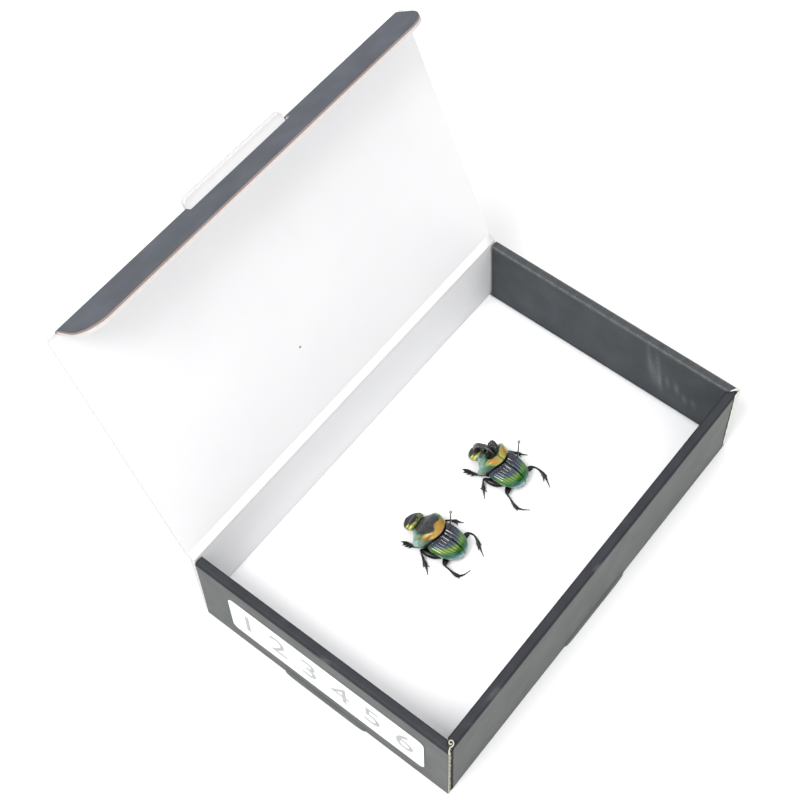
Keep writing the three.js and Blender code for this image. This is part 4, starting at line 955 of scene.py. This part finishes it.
def female_marks(u, t, upper):
    """Bounds in u and t: the disc is an oval in front, the band a strip along the rear margin
    that is widest right of the middle, and the flanks fade to pale green, a painted reflection."""
    waver = 0.03 * cloudy(u * 6, t * 9, 21, 2.6)
    depth = 0.19 + 0.2 * bump(u, 0.1, 0.25) + 0.08 * bump(u, 0.45, 0.25) + 0.15 * bump(u, -0.62, 0.26)
    behind = 0.14 * smooth(-0.5, -0.9, u)
    band = smooth(0.03, -0.02, t - depth + waver) * smooth(-0.02, 0.03, t - behind + waver)
    band = band * smooth(0.92, 0.8, u) * smooth(-0.9, -0.78, u)
    disc = smooth(1.06, 0.96, np.hypot((u - 0.02) / 0.68, np.minimum(t - 0.72, 0) / 0.58) + waver)
    gold = 0.6 * smooth(0.05, 0.01, np.abs(t - depth - 0.02)) * smooth(0.95, 0.6, np.abs(u))
    spots = bump(u, -0.64, 0.06) * bump(t, 0.56, 0.035) + bump(u, -0.81, 0.06) * bump(t, 0.53, 0.05)
    pit = bump(u, -0.66, 0.1) * bump(t, 0.15, 0.04)
    pale = smooth(0.66, 0.92, np.abs(u) + 0.08 * cloudy(u * 6, t * 9, 25, 2.0)) * smooth(0.02, 0.3, t)
    black = np.clip(disc * (1 - band) + 0.95 * pit, 0, 1)
    edge = 0.055 - 0.04 * smooth(0.3, 0.8, np.abs(u))
    margin = smooth(edge, 0.4 * edge, t)
    return {"orange": band * upper, "black": black * upper, "gold": np.clip(gold + spots, 0, 1) * upper,
            "pale": np.clip(pale, 0, 1) * upper, "margin": np.clip(margin + 1 - upper, 0, 1)}


def male_marks(u, t, upper):
    """Bounds in u and t: an oval behind each prong, black from the hollow out over the prongs,
    a dark line down the middle, and flanks painted pale as a reflection."""
    left = np.hypot((u + 0.33) / 0.3, (t - 0.245 + 0.1 * (u + 0.33)) / 0.18)
    right = np.hypot((u - 0.44) / 0.27, (t - 0.2) / 0.17)
    near = np.minimum(left, right) + 0.07 * cloudy(u * 6, t * 8, 31, 3.0)
    oval = smooth(1.0, 0.84, near)
    gold = np.clip(smooth(1.5, 1.02, near) + bump(u, 0.2, 0.16) * smooth(0.4, 0.2, t), 0, 1) * (1 - oval)
    waver = 0.04 * cloudy(u * 6, t * 8, 33, 2.4)
    front = smooth(0.4, 0.5, t + waver) * smooth(-0.26, -0.16, u + waver) * smooth(0.95, 0.85, u)
    front = front + smooth(0.75, 0.85, t) * smooth(0.8, 0.6, np.abs(u))
    middle = bump(u, 0.01, 0.035)
    left_tip = 0.85 * smooth(1.1, 0.7, np.hypot((u + 0.62) / 0.24, (t - 0.75) / 0.1) + waver)
    black = np.clip((front + middle + left_tip) * (1 - oval), 0, 1)
    pale = smooth(0.5, 0.85, np.abs(u)) * smooth(0.04, 0.4, t)
    edge = 0.06 - 0.04 * smooth(0.3, 0.8, np.abs(u))
    margin = smooth(edge, 0.5 * edge, t)
    return {"orange": oval * upper, "black": black * upper, "gold": gold * upper,
            "pale": pale * upper, "margin": np.clip(margin + 1 - upper, 0, 1)}


# %% [markdown]
# ## Colour of the shields
# The shield's ground is a silky green-grey, which turns pale grey-green on the flanks as a
# painted reflection. Over it the marks lay gold, ochre and black one after the other, as in the
# real thing, where dark pigment hides the mirror layers. Noise of about a millimetre breaks
# each of them up.

# %% Shield finish
shield_finish, tree, shader, place = cuticle("iridescent_shield", 0.45, 0.3, 0.55, 0.3, 0.15)
# The eye gets a satin shine that is softer than the wing cases', from fine leathery pits.
pale, golden, orange, black, margin = [add_node(tree, "Attribute", {"attribute_name": name}).outputs["Fac"]
    for name in ("pale", "gold", "orange", "black", "margin")]
blotch = add_node(tree, "TexNoise", {"mm": 1.1, "Detail": 3.0, "Vector": place})
patchy = add_node(tree, "MapRange", {"From Min": 0.35, "From Max": 0.65, "Value": blotch})
dim = add_node(tree, "Math", {"operation": "MULTIPLY", 1: 0.6, 0: patchy})
# The pale grey-green that the flank mark lays on is a painted reflection of the bright room.
green = add_node(tree, "Mix", {6: "#35633f", 7: "#8fb0a2", 0: pale})
green = add_node(tree, "Mix", {7: "#3a6350", 0: dim, 6: green})
amber = add_node(tree, "Mix", {6: "#b8782c", 7: "#8c7d20", 0: patchy})
soot = add_node(tree, "Mix", {6: "#141615", 7: "#313533", 0: patchy})
colour = add_node(tree, "Mix", {7: "#99a136", 0: golden, 6: green})
for share, over in ((orange, amber), (black, soot)):
    colour = add_node(tree, "Mix", {0: share, 6: colour, 7: over})
colour = add_node(tree, "Mix", {7: "#050606", 0: margin, 6: colour})
leather = add_node(tree, "TexNoise", {"mm": 0.22, "Detail": 1.0, "Vector": place})
hills = add_node(tree, "Bump", {"Strength": 0.6, "Distance": 0.03 * MM, "Height": leather})
connect(tree, shader, "Base Color", colour)
connect(tree, shader, "Normal", hills)
for (name, beetle), marks_of in zip(BEETLES.items(), (female_marks, male_marks)):
    points, *place = shield(beetle)
    new_piece(f"{name}_shield", [tube(stand(points, beetle), marks=marks_of(*place))],
              [shield_finish], [f"{name}_pronotum"])

# %% [markdown]
# ## Limbs, horn and spines
# A leg is a chain of tapering joints: a thick thigh, a shin that widens to a toothed end, and a
# foot of five small beads. It could be skinned over a skeleton, but a tube through a few
# measured stations is exact and quick: the centre and both half widths run through
# the stations on a smooth curve, and spines are small bent cones let into it.

# %% Tubes through stations


def through(stations, count):
    """Catmull-Rom curve through the rows of stations, evenly in arc length, count samples. It
    returns the samples and each one's place in stations."""
    known = np.asarray(stations, float)
    gaps = np.linalg.norm(np.diff(known[:, :3], axis=0), axis=1)
    way = np.concatenate([[0], np.cumsum(gaps)])
    at = np.linspace(0, way[-1], count)
    i = np.clip(np.searchsorted(way, at, side="right") - 1, 0, len(known) - 2)
    t = ((at - way[i]) / gaps[i])[:, None]
    pad = np.vstack([2 * known[0] - known[1], known, 2 * known[-1] - known[-2]])
    p0, p1, p2, p3 = pad[i], pad[i + 1], pad[i + 2], pad[i + 3]
    curve = 0.5 * (2 * p1 + (p2 - p0) * t + (2 * p0 - 5 * p1 + 4 * p2 - p3) * t ** 2
                   + (3 * p1 - p0 - 3 * p2 + p3) * t ** 3)
    return curve, i + t[:, 0]


def swept(curve, sides):
    """Rings round a curve of [x, y, z, half width, half height]: the width is level, the height
    square to it. Both shrink to a rounded tip at each end."""
    centre = curve[:, :3]
    along = unit(np.gradient(centre, axis=0))
    side = unit(np.cross(along, [0.0, 0.0, 1.0]))
    up = np.cross(side, along)
    a = np.linspace(0, 2 * np.pi, sides, endpoint=False)
    wide = np.maximum(curve[:, 3], 0.015)[:, None, None] * np.cos(a)[None, :, None]
    high = np.maximum(curve[:, 4], 0.015)[:, None, None] * np.sin(a)[None, :, None]
    return centre[:, None] + wide * side[:, None] + high * up[:, None]


def spine(root, tip, radius, bend=0.12, rings=7, sides=8):
    """A thorn: a cone from root to tip that bows downwards a little and ends in a fine point."""
    root, tip = np.array(root, float), np.array(tip, float)
    t = np.linspace(0, 1, rings)[:, None]
    centre = root + (tip - root) * t
    centre[:, 2:] -= bend * np.linalg.norm(tip - root) * np.sin(np.pi * t)
    thick = radius * (1 - 0.93 * t ** 1.3)
    return tube(swept(np.hstack([centre, thick, thick * 0.8]), sides))


# %% [markdown]
# ## Worn corners
# The two front corners show wear. On the near one a jagged scrap of dark ink stands over the
# raw end of the end wall, its near black partly a painted shade for the gap beside that end, and
# a shred of paper has curled up into a small ring on top. On the far one the ink is torn off
# along the edge, so that pale paper shows, also on top. The scraps are thin plates with a
# wandering edge, and the shred is a flat tube through stations.

# %% Worn corners
# Torn card shows its fibres: cream and grey-brown flecks half a millimetre wide, quite matt.
torn_paper = two_tone(new_finish("torn_kraft_paper", Roughness=0.85, Specular_IOR_Level=0.2),
                      ("#b3ab98", "#dcd8cb"), 0.5, 3.0, relief=(0.7, 0.05))
# The back of the inked layer is nearly black where it is crushed, with brown fibre ends; at the near corner
# this near black is also a painted shade for the gap beside the raw end.
torn_ink_and_shade = two_tone(new_finish("torn_black_liner_and_painted_shade", Roughness=0.8, Specular_IOR_Level=0.2),
                    ("#0b0b0d", "#262426"), 0.6, 3.0)
# Under the ink lies bleached paper: nearly white with faint grey-green clouds.
pale_paper = two_tone(new_finish("torn_white_liner", Roughness=0.8, Specular_IOR_Level=0.2),
                      ("#bfc4ba", "#e9ebe6"), 0.8, 3.0)


def torn_scrap(bottom, top, left, right, seed, proud):
    """A scrap of paper on the front wall: left and right are its bounds at the bottom and the
    top, and both edges wander off the straight line by up to a quarter of a millimetre."""
    share = np.linspace(0, 1, 90)[:, None]
    z = bottom + (top - bottom) * share
    tear = 0.2 * cloudy(z, 0 * z, seed, 5.1) + 0.14 * cloudy(z, 0 * z, seed + 1, 1.7)
    start = left[0] + (left[1] - left[0]) * share + tear
    end = right[0] + (right[1] - right[0]) * share + 0.4 * tear[::-1]
    x = start + (end - start) * np.linspace(0, 1, 6)[None, :]
    return plate(vec(x, -HALF_D - proud, z), vec(x, -HALF_D + 0.1, z))


SHRED = [
    [-74.85, -48.05, 34.6, 0.2, 0.3], [-74.8, -47.95, 35.7, 0.2, 0.38],
    [-74.35, -47.65, 36.2, 0.18, 0.4], [-73.7, -47.45, 36.3, 0.17, 0.4],
    [-73.0, -47.62, 36.3, 0.17, 0.4], [-72.45, -47.62, 36.3, 0.17, 0.4],
    [-71.95, -47.3, 36.3, 0.17, 0.4], [-71.7, -46.8, 36.3, 0.17, 0.4],
    [-71.85, -46.3, 36.3, 0.17, 0.4], [-72.35, -46.1, 36.3, 0.17, 0.4],
    [-72.8, -46.45, 36.3, 0.17, 0.38], [-72.8, -46.95, 36.3, 0.16, 0.36],
    [-72.4, -47.15, 36.3, 0.14, 0.4]]
# The near corner's dark scraps are partly a painted shade along the gap beside the raw end.
new_piece("torn_ink_and_painted_shade_scraps", [torn_scrap(1.0, 34.6, (-73.8, -74.0), (-72.7, -72.9), 71, 0.06),
                              torn_scrap(0.6, 3.0, (-73.6, -73.4), (-72.6, -72.9), 73, 0.08),
                              torn_scrap(1.5, 34.0, (73.0, 71.3), (74.0, 73.0), 75, 0.04)],
          [torn_ink_and_shade])
new_piece("bared_paper", [torn_scrap(1.5, 35.2, (73.4, 71.7), (74.9, 74.9), 75, 0.07)],
          [pale_paper])
# The bared mitre is a leaf that widens along the fold from the inside to the corner.
share = np.linspace(0, 1, 24)[:, None]
side = (0.1 + 0.36 * share) * np.linspace(-1, 1, 5)[None, :]
leaf_x = 71.9 + 2.9 * share + 0.62 * side
leaf_y = -46.0 - 2.0 * share + 0.78 * side + 0.06 * cloudy(leaf_x, leaf_x, 77, 1.1)
leaf_z = 36.06 - 0.9 * smooth(0.6, 1.0, share)
new_piece("bared_mitre", [plate(vec(leaf_x, leaf_y, leaf_z), vec(leaf_x, leaf_y, leaf_z - 0.2))],
          [pale_paper])
new_piece("curled_shred", [tube(swept(through(SHRED, 160)[0], 10))], [torn_paper])

# %% [markdown]
# ## The twelve legs
# Every station below was set from the photo: where the leg leaves the body, its knee, the wide
# end of the shin and the tip of the foot, in millimetres in the box's frame. The two numbers
# after each place are the half width and half height there.

# %% Leg stations
# Height, half width and half height at each station, which all legs of one kind share.
LEG_PROFILES = {
    "front": [(10.9, 0.8, 0.7), (10.6, 0.6, 0.5), (10.3, 0.38, 0.35), (9.7, 0.62, 0.3), (9.3, 0.72, 0.28),
        (9.15, 0.3, 0.2)],
    "middle_left": [(10, 1.4, 0.9), (10.15, 1.55, 1), (10.4, 1.2, 0.9), (10.6, 0.45, 0.45),
        (10.5, 0.3, 0.3), (9.9, 0.45, 0.35), (9.5, 0.75, 0.4), (9.3, 0.4, 0.3), (9.05, 0.22, 0.2),
        (8.9, 0.1, 0.1)],
    "middle_right": [(10, 1, 0.7), (10.15, 1.2, 0.85), (10.4, 1, 0.8), (10.6, 0.45, 0.45),
        (10.5, 0.3, 0.3), (9.9, 0.45, 0.35), (9.5, 0.7, 0.4), (9.3, 0.35, 0.3), (9.05, 0.2, 0.2),
        (8.9, 0.1, 0.1)],
    "hind_left": [(10, 0.9, 0.7), (10.2, 1.05, 0.85), (10.4, 0.8, 0.7), (10.6, 0.4, 0.4),
        (10.4, 0.3, 0.3), (9.8, 0.42, 0.35), (9.4, 0.66, 0.4), (9.25, 0.4, 0.3), (9.05, 0.2, 0.2),
        (8.9, 0.1, 0.1)],
    "hind_right": [(10, 0.9, 0.7), (10.2, 1.05, 0.85), (10.5, 0.8, 0.7), (10.7, 0.4, 0.4),
        (10.5, 0.3, 0.3), (9.9, 0.45, 0.35), (9.4, 0.7, 0.4), (9.25, 0.4, 0.3), (9.05, 0.2, 0.2),
        (8.9, 0.1, 0.1)],
}
# For each leg its places in the box, the half widths that differ, and its spurs, each as root,
# tip and radius.
LEGS = {
    "female_front_left_leg": ([(-18, 4.4), (-19.9, 5), (-21.1, 6.4), (-21.4, 8.2), (-21.6, 9.9),
         (-21.6, 10.9)],
        {}, [(-21.7, 7.6, 9.8, -22.6, 8.3, 9.5, 0.3), (-21.9, 8.6, 9.6, -22.9, 9.5, 9.3, 0.32),
         (-21.9, 9.7, 9.3, -22.9, 10.7, 9.1, 0.32), (-21.5, 10.4, 9.2, -21.9, 11.9, 9.05, 0.3)]),
    "female_front_right_leg": ([(-11.6, 4.9), (-9.9, 5.7), (-9.5, 7), (-10.2, 8.3), (-11.2, 9.3),
         (-11.9, 9.9)],
        {}, [(-9.9, 7.9, 9.8, -9.2, 9, 9.5, 0.3), (-10.3, 8.7, 9.5, -9.9, 10, 9.3, 0.32),
         (-11, 9.4, 9.3, -10.8, 10.6, 9.1, 0.32), (-11.7, 9.7, 9.2, -12.2, 11, 9.05, 0.3)]),
    "female_middle_left_leg": ([(-18.1, -1.4), (-19.5, 0.1), (-20.5, 2.4), (-20.95, 4.2), (-21.8, 3.4),
         (-23, 1.6), (-23.7, 0.5), (-24.1, -0.2), (-24.9, -1.2), (-25.7, -2)],
        {}, [(-23.6, 0.6, 9.5, -23.2, -1.3, 8.95, 0.28), (-23.7, 0.8, 9.5, -24.9, 0.5, 9.1, 0.28)]),
    "female_middle_right_leg": ([(-11.3, -0.4), (-10.1, 1.2), (-9.1, 3.2), (-8.4, 4.5), (-7.6, 4),
         (-6.5, 2.9), (-5.8, 2), (-5.4, 1.4), (-4.9, 0.7), (-4.5, 0.1)],
        {}, [(-5.9, 2.1, 9.5, -6.4, 0.7, 8.95, 0.28), (-5.9, 2.3, 9.5, -4.9, 2.4, 9.1, 0.28)]),
    "female_hind_left_leg": ([(-17, -3.2), (-18.8, -3.9), (-20.1, -4.5), (-20.7, -5.1), (-20.8, -6.6),
         (-20.8, -8.2), (-20.6, -9.6), (-20.1, -10.4), (-18.6, -11.2), (-16.5, -11.7)],
        {}, [(-20.5, -9.5, 9.4, -20.9, -11, 8.95, 0.26)]),
    "female_hind_right_leg": ([(-12, -3), (-9.4, -3.5), (-7.7, -3.9), (-7, -4.4), (-6.7, -5.7),
         (-7.1, -7.2), (-7.8, -8.4), (-8.3, -9.2), (-9.2, -10.6), (-10, -12)],
        {}, [(-7.9, -8.3, 9.4, -9.5, -9.7, 8.95, 0.28), (-7.5, -8.1, 9.5, -7.2, -9.4, 9.1, 0.24)]),
    "male_front_left_leg": ([(14.6, 3.6), (12.8, 4.6), (11.6, 6.1), (11.1, 8.3), (10.9, 10.3),
         (10.8, 11.5)],
        {}, [(10.8, 7.6, 9.8, 9.9, 8.4, 9.5, 0.3), (10.6, 8.9, 9.6, 9.7, 9.9, 9.3, 0.32),
         (10.6, 10.1, 9.3, 9.7, 11.2, 9.1, 0.32), (10.9, 11, 9.2, 10.6, 12.5, 9.05, 0.3)]),
    "male_front_right_leg": ([(20.6, 4.4), (22.2, 5.4), (22.6, 6.8), (21.9, 8.1), (20.9, 9.1), (20.2, 9.7)],
        {}, [(22.2, 7.7, 9.8, 22.9, 8.8, 9.5, 0.3), (21.8, 8.5, 9.5, 22.2, 9.8, 9.3, 0.32),
         (21.1, 9.2, 9.3, 21.3, 10.4, 9.1, 0.32), (20.4, 9.5, 9.2, 19.9, 10.8, 9.05, 0.3)]),
    "male_middle_left_leg": ([(14.7, -1.6), (13, -0.2), (11.9, 1.8), (11.4, 3.7), (10.7, 3.6), (9.7, 2.9),
         (8.9, 2.2), (8.5, 1.8), (7.5, 0.9), (6.6, 0)],
        {2: 1.15, 6: 0.72}, [(9, 2.2, 9.5, 8.9, 0.5, 8.95, 0.28), (9, 2.4, 9.5, 8.3, 3.4, 9.1, 0.28)]),
    "male_middle_right_leg": ([(20.7, -0.9), (22.1, 0.6), (23.2, 2.4), (24, 3.7), (24.7, 3.2),
         (25.6, 1.8), (26.2, 0.9), (26.6, 0.2), (27.2, -0.6), (27.8, -1.4)],
        {6: 0.65}, [(26.2, 0.9, 9.5, 25.8, -0.5, 8.95, 0.26), (26.2, 1, 9.5, 27.3, 0.8, 9.1, 0.26)]),
    "male_hind_left_leg": ([(15.3, -3.6), (13.4, -4.3), (12.1, -4.9), (11.4, -5.4), (10.9, -6.8),
         (10.3, -8.4), (9.9, -10), (10.1, -10.9), (10.9, -12.4), (12, -13.8)],
        {6: 0.62, 7: 0.38}, [(9.9, -9.8, 9.4, 9.2, -11.2, 8.95, 0.26)]),
    "male_hind_right_leg": ([(20, -4), (22.3, -4.9), (23.8, -5.6), (24.5, -6.2), (24.9, -7.4), (25, -8.9),
         (24.7, -10.3), (24.4, -11.2), (23.6, -12.6), (22.7, -14)],
        {1: 1, 6: 0.72}, [(24.6, -10.2, 9.4, 22.9, -11.5, 8.95, 0.28),
         (24.9, -10, 9.5, 25.5, -11.3, 9.1, 0.24)]),
}

# %% [markdown]
# ## Legs, bristles and claws
# Each leg is one mesh: the limb, its spurs, seven bristles in two rows on the shin and two
# claws. A hair system could grow the bristles, but seven cones in known places cost little and
# travel with the mesh.

# %% Legs
LEG_RINGS = 90


def leg(name):
    """A leg: a tube through its stations whose foot is beaded, its spurs, a row of bristles on
    the shin and two claws at the tip. A front leg ends at the shin and has no foot."""
    places, wide, spurs = LEGS[name]
    front = "front" in name
    profile = np.array(LEG_PROFILES["front" if front else "_".join(name.split("_")[1:3])])
    profile[list(wide), 1] = list(wide.values())
    curve, at = through(np.hstack([places, profile]), LEG_RINGS)
    foot = 0 * at if front else smooth(6.9, 7.4, at)
    beads = 1 + 0.28 * foot * np.cos(2 * np.pi * (at - 7) / 0.45)
    knee = 1 - 0.18 * bump(at, 2.0 if front else 3.0, 0.25)
    curve[:, 3:] *= (beads * knee)[:, None]
    parts = [tube(swept(curve, 16))] + [spine(spur[:3], spur[3:6], spur[6]) for spur in spurs]
    shin = (2.6, 4.4) if front else (4.5, 6.6)
    for k, value in enumerate(np.linspace(*shin, 7)):
        nearest = np.argmin(np.abs(at - value))
        here, there = curve[nearest], curve[min(nearest + 3, LEG_RINGS - 1)]
        forward = unit((there - here)[:3])
        out = np.cross(forward, [0, 0, 1.0]) * (1 if k % 2 else -1)
        root = here[:3] + out * here[3] * 0.7
        tip = root + 0.55 * out + 0.35 * forward + np.array([0, 0, -0.1])
        parts.append(spine(root, tip, 0.05, 0.1, 4, 4))
    end, before = curve[-1, :3], curve[-4, :3]
    forward = unit(end - before)
    side = np.cross(forward, [0, 0, 1.0])
    for way in (-1, 1):
        parts.append(spine(end - 0.1 * forward, end + 0.4 * forward + way * 0.28 * side, 0.07, 0.2, 5, 6))
    return parts


for name in LEGS:
    new_piece(name + "_fine", leg(name), [black_finish], [name])

# %% [markdown]
# ## Heads and horn
# A dung beetle's head is a flat shovel with a rough, notched front edge. The female's has a low
# ridge across it, and the male's carries the long horn that curves back over the hollow in the
# shield. Yellow-green shows where the black is thin: at the rear, at the left cheek and round
# the rim. The shovel is a plate whose outline and dome are functions of the way forward and
# across. The horn is a tube through seven stations.

# %% Head finish
head_finish, tree, shader, place = cuticle("rugose_head_cuticle", 0.45, 0.2, 0.35, 0.2, 0.15)
# A wrinkled dark shell: the coarse bump scatters the shine into small grey glints.
green_rim, yellow = [add_node(tree, "Attribute", {"attribute_name": name}).outputs["Fac"]
                     for name in ("green_rim", "yellow")]
rough = add_node(tree, "TexNoise", {"mm": 0.35, "Detail": 2.0, "Vector": place})
colour = add_node(tree, "Mix", {6: "#060707", 7: "#232624", 0: rough})
colour = add_node(tree, "Mix", {7: "#65722c", 0: green_rim, 6: colour})
colour = add_node(tree, "Mix", {7: "#e6e672", 0: yellow, 6: colour})
hills = add_node(tree, "Bump", {"Strength": 0.8, "Distance": 0.06 * MM, "Height": rough})
connect(tree, shader, "Base Color", colour)
connect(tree, shader, "Normal", hills)

# The horn is worn smooth, so it takes one broad grey sheen along its back.
horn_finish = two_tone(cuticle("smooth_black_horn", 0.36, 0.0, 0.5, 0.25), ("#0d0e0e", "#2e3130"),
                       0.6, relief=(0.5, 0.02))

# %% [markdown]
# ## Shapes of head and horn
# The notch in the middle of the front edge, the cheeks at the rear corners and the ridge across
# are terms of the same two parameters as the outline. Sculpting would give freer wrinkles, but
# then the marks would have to be painted by hand.

# %% Heads


def head_marks(v, s, male):
    """Where yellow and green show: v across from -1 to 1 and s from the rear to the front."""
    spots = bump(v, -0.82, 0.16) * bump(s, 0.46, 0.07) + bump(v, -0.8, 0.3) * bump(s, 0.2, 0.1)
    spots = spots + 0.6 * bump(v, -0.3, 0.14) * bump(s, 0.12, 0.06)
    patch = 0.8 * bump(v, 0.72, 0.22) * bump(s, 0.30, 0.14)
    rear = smooth(0.24, 0.14, s + 0.05 * cloudy(v * 3, s * 5, 41, 1.4))
    rear = rear * (1 - bump(s, 0.1, 0.03) * smooth(0.9, 0.6, np.abs(v)))
    rear = rear * np.clip(0.55 + 0.9 * cloudy(v * 3.5, s * 4.8, 43, 0.8), 0, 1)
    rim = smooth(0.8, 0.95, np.abs(v)) * smooth(0.9, 0.5, s)
    if male:
        rim = np.clip(rim + smooth(0.85, 0.95, s) * 0.5, 0, 1)
        return {"yellow": np.clip(spots * 1.1, 0, 1), "green_rim": np.clip(0.8 * rim + rear * 0.4, 0, 1)}
    return {"yellow": np.clip(spots, 0, 1), "green_rim": np.clip(rear + patch + 0.3 * rim, 0, 1)}


def head_shovel(beetle):
    """A plate from the neck to the notched front edge, domed, sloping down and thick behind."""
    male = beetle["male"]
    rear = FRONT + 0.6 + SHIELD_LENGTH[male]
    s, v = np.meshgrid(np.sin(np.linspace(0, np.radians(84), 64)), np.linspace(-1, 1, 65), indexing="ij")
    half = 3.5 * (0.88 + 0.12 * smooth(0, 0.35, s)) * np.maximum(1 - s ** 3, 0) ** 0.5
    notch = 0.35 * np.exp(-(v / 0.16) ** 2) * smooth(0.8, 1, s)
    x, y = half * v, rear + 4.8 * s - notch
    slope = 5.9 - (0.7 if male else 0.0) - 3.3 * s
    ridge = 0.35 * bump(s - 0.06 * v ** 2, 0.45, 0.035) * smooth(0.8, 0.6, np.abs(v)) * (not male)
    dome = (1 - v * v) * (0.55 + 0.25 * bump(s, 0.45, 0.12)) + ridge
    wrinkles = 0.05 * cloudy(x, y, 51, 0.9) * smooth(1.0, 0.9, np.abs(v))
    rim_lip = 0.12 * bump(np.hypot(v, s ** 2), 0.97, 0.06)
    thick = 0.45 + 1.9 * (1 - s) * (1 - 0.6 * v * v)
    top = vec(x, y, slope + dome + wrinkles + rim_lip)
    under = vec(x, y, slope - thick)
    return plate(stand(top, beetle), stand(under, beetle), marks=head_marks(v, s, male))


HORN = [
    [0, 11.7, 4.2, 1.0, 1.0], [0, 11.8, 5.9, 0.94, 0.95], [0, 11.1, 7.6, 0.84, 0.86],
    [0, 9.8, 8.8, 0.74, 0.74], [0, 8.1, 9.3, 0.6, 0.6], [0, 6.3, 9.1, 0.44, 0.45],
    [0, 4.9, 8.6, 0.18, 0.18]]


def horn():
    """The horn: a round tube through its stations in the beetle's middle plane."""
    curve, _ = through(HORN, 70)
    along = unit(np.gradient(curve[:, 1:3], axis=0))
    a = np.linspace(0, 2 * np.pi, 24, endpoint=False)[None, :]
    x = curve[:, 3:4] * np.cos(a)
    rise = curve[:, 4:5] * np.sin(a) * (1 + 0.03 * np.sin(17 * a))
    rings = vec(x, curve[:, 1:2] - along[:, 1:2] * rise, curve[:, 2:3] + along[:, 0:1] * rise)
    return tube(stand(rings, MALE))


for name, beetle in BEETLES.items():
    new_piece(f"{name}_head_fine", [head_shovel(beetle)], [head_finish], [f"{name}_head"])
new_piece("male_horn", [horn()], [horn_finish])

# %% [markdown]
# ## Pins
# An entomological pin is hard steel wire, under half a millimetre thick, with a small rolled
# head. Its profile is turned round the upright axis as on a lathe.

# %% Pins
# Drawing leaves fine lines along the wire and grey lubricant in them: a soft mid-grey metal.
steel, tree, shader, place = new_finish("drawn_steel_wire", Metallic=1.0, Roughness=0.32)
stretched = add_node(tree, "Mapping", {"Scale": (1, 1, 0.1), "Vector": place})
steel_finish = two_tone((steel, tree, shader, stretched), ("#7e7f7e", "#a9aaa8"), 0.2, relief=(0.3, 0.005))
PIN_POINT, PIN_TAPER, PIN_RADIUS, PIN_HEAD = 2.5, 2.6, 0.21, 0.5


def turned_pin(x, y, top):
    """Radius against height: a cone at the point, a straight wire and a round head."""
    ball = np.radians(np.linspace(-64, 90, 15))
    radius = np.concatenate([[0.01, 0.11, PIN_RADIUS, PIN_RADIUS], PIN_HEAD * np.cos(ball)])
    radius[-1] = 0.01
    height = np.concatenate([[PIN_POINT, PIN_POINT + 1, PIN_POINT + PIN_TAPER, top - 2 * PIN_HEAD],
                             top - PIN_HEAD + PIN_HEAD * np.sin(ball)])
    a = np.linspace(0, 2 * np.pi, 20, endpoint=False)
    rings = vec(x + radius[:, None] * np.cos(a), y + radius[:, None] * np.sin(a), height[:, None] + 0 * a)
    return tube(rings)


for name, beetle in BEETLES.items():
    new_piece(f"{name}_steel_pin", [turned_pin(*beetle["pin"])], [steel_finish],
              [f"{name}_pin"])

# %% [markdown]
# ## Dust speck
# One small dark fleck lies on the lid's white lining in the photo, so it is kept: a flat flake
# a third of a millimetre across.

# %% Dust speck
SPECK_ACROSS, SPECK_ALONG = -8.9, 26.9
turn = np.linspace(0, 2 * np.pi, 8, endpoint=False)
sizes = np.array([0.03, 0.3, 0.34, 0.3, 0.03])[:, None] * (1 + 0.25 * np.sin(2 * turn + 1))
speck_rings = on_lid(SPECK_ACROSS + sizes * np.cos(turn), SPECK_ALONG + sizes * np.sin(turn),
                     -0.02 - np.array([0, 0.02, 0.06, 0.1, 0.12])[:, None] + 0 * turn)
# A fleck of lint or soil: brown and black threads, quite dull.
dust_finish = two_tone(new_finish("dark_fibre_dust", Roughness=0.9, IOR=1.45), ("#2b2724", "#59514a"), 0.1)
new_piece("dust_speck", [tube(speck_rings)], [dust_finish], body="lid_body")

# %% [markdown]
# ## Floor and light
# The box was photographed on white, in soft light from all round with one brighter window high
# on the left, which draws the streaks on the wing cases. A white world gives the soft part, a
# broad lamp overhead lifts the floor to white, and a small lamp gives the streaks.

# %% Floor and light
# A paper sweep, bright and quite dull, shows nothing but the box's soft shadow.
floor_finish = new_finish("white_paper_sweep", Base_Color="#f7f7f7", Roughness=0.9,
                          Specular_IOR_Level=0.1)[0]
floor_mesh = bpy.data.meshes.new("floor")
FLOOR_HALF, FLOOR_Z = 3.0, -0.0002
floor_mesh.from_pydata([(FLOOR_HALF * x, FLOOR_HALF * y, FLOOR_Z)
                        for x, y in ((-1, -1), (1, -1), (1, 1), (-1, 1))], [], [(0, 1, 2, 3)])
floor_mesh.materials.append(floor_finish)
floor = put_in_scene("floor", floor_mesh)

world = bpy.data.worlds.new("white_studio")
world.use_nodes = True
background = world.node_tree.nodes["Background"].inputs
background["Color"].default_value, background["Strength"].default_value = (1, 1, 1, 1), 0.78
bpy.context.scene.world = world
bpy.context.scene.view_settings.view_transform = "Standard"


def soft_lamp(name, direction, distance, size, power):
    """An area lamp of size (width, height) that stands in the given direction and faces the box."""
    back = unit(np.array(direction, float))
    right = unit(np.cross([0.0, 0, 1], back))
    lamp_data = bpy.data.lights.new(name, "AREA")
    lamp_data.shape, lamp_data.energy = "RECTANGLE", power
    lamp_data.size, lamp_data.size_y = size
    lamp = put_in_scene(name, lamp_data)
    aim(lamp, (right, np.cross(back, right), back), back * distance)


soft_lamp("overhead_lamp", (0.12, -0.5, 1.0), 1.7, (2.2, 1.8), 11.5)
soft_lamp("window_lamp", (-0.52, 0.03, 0.85), 1.4, (0.52, 0.5), 12.0)
print("lights set")
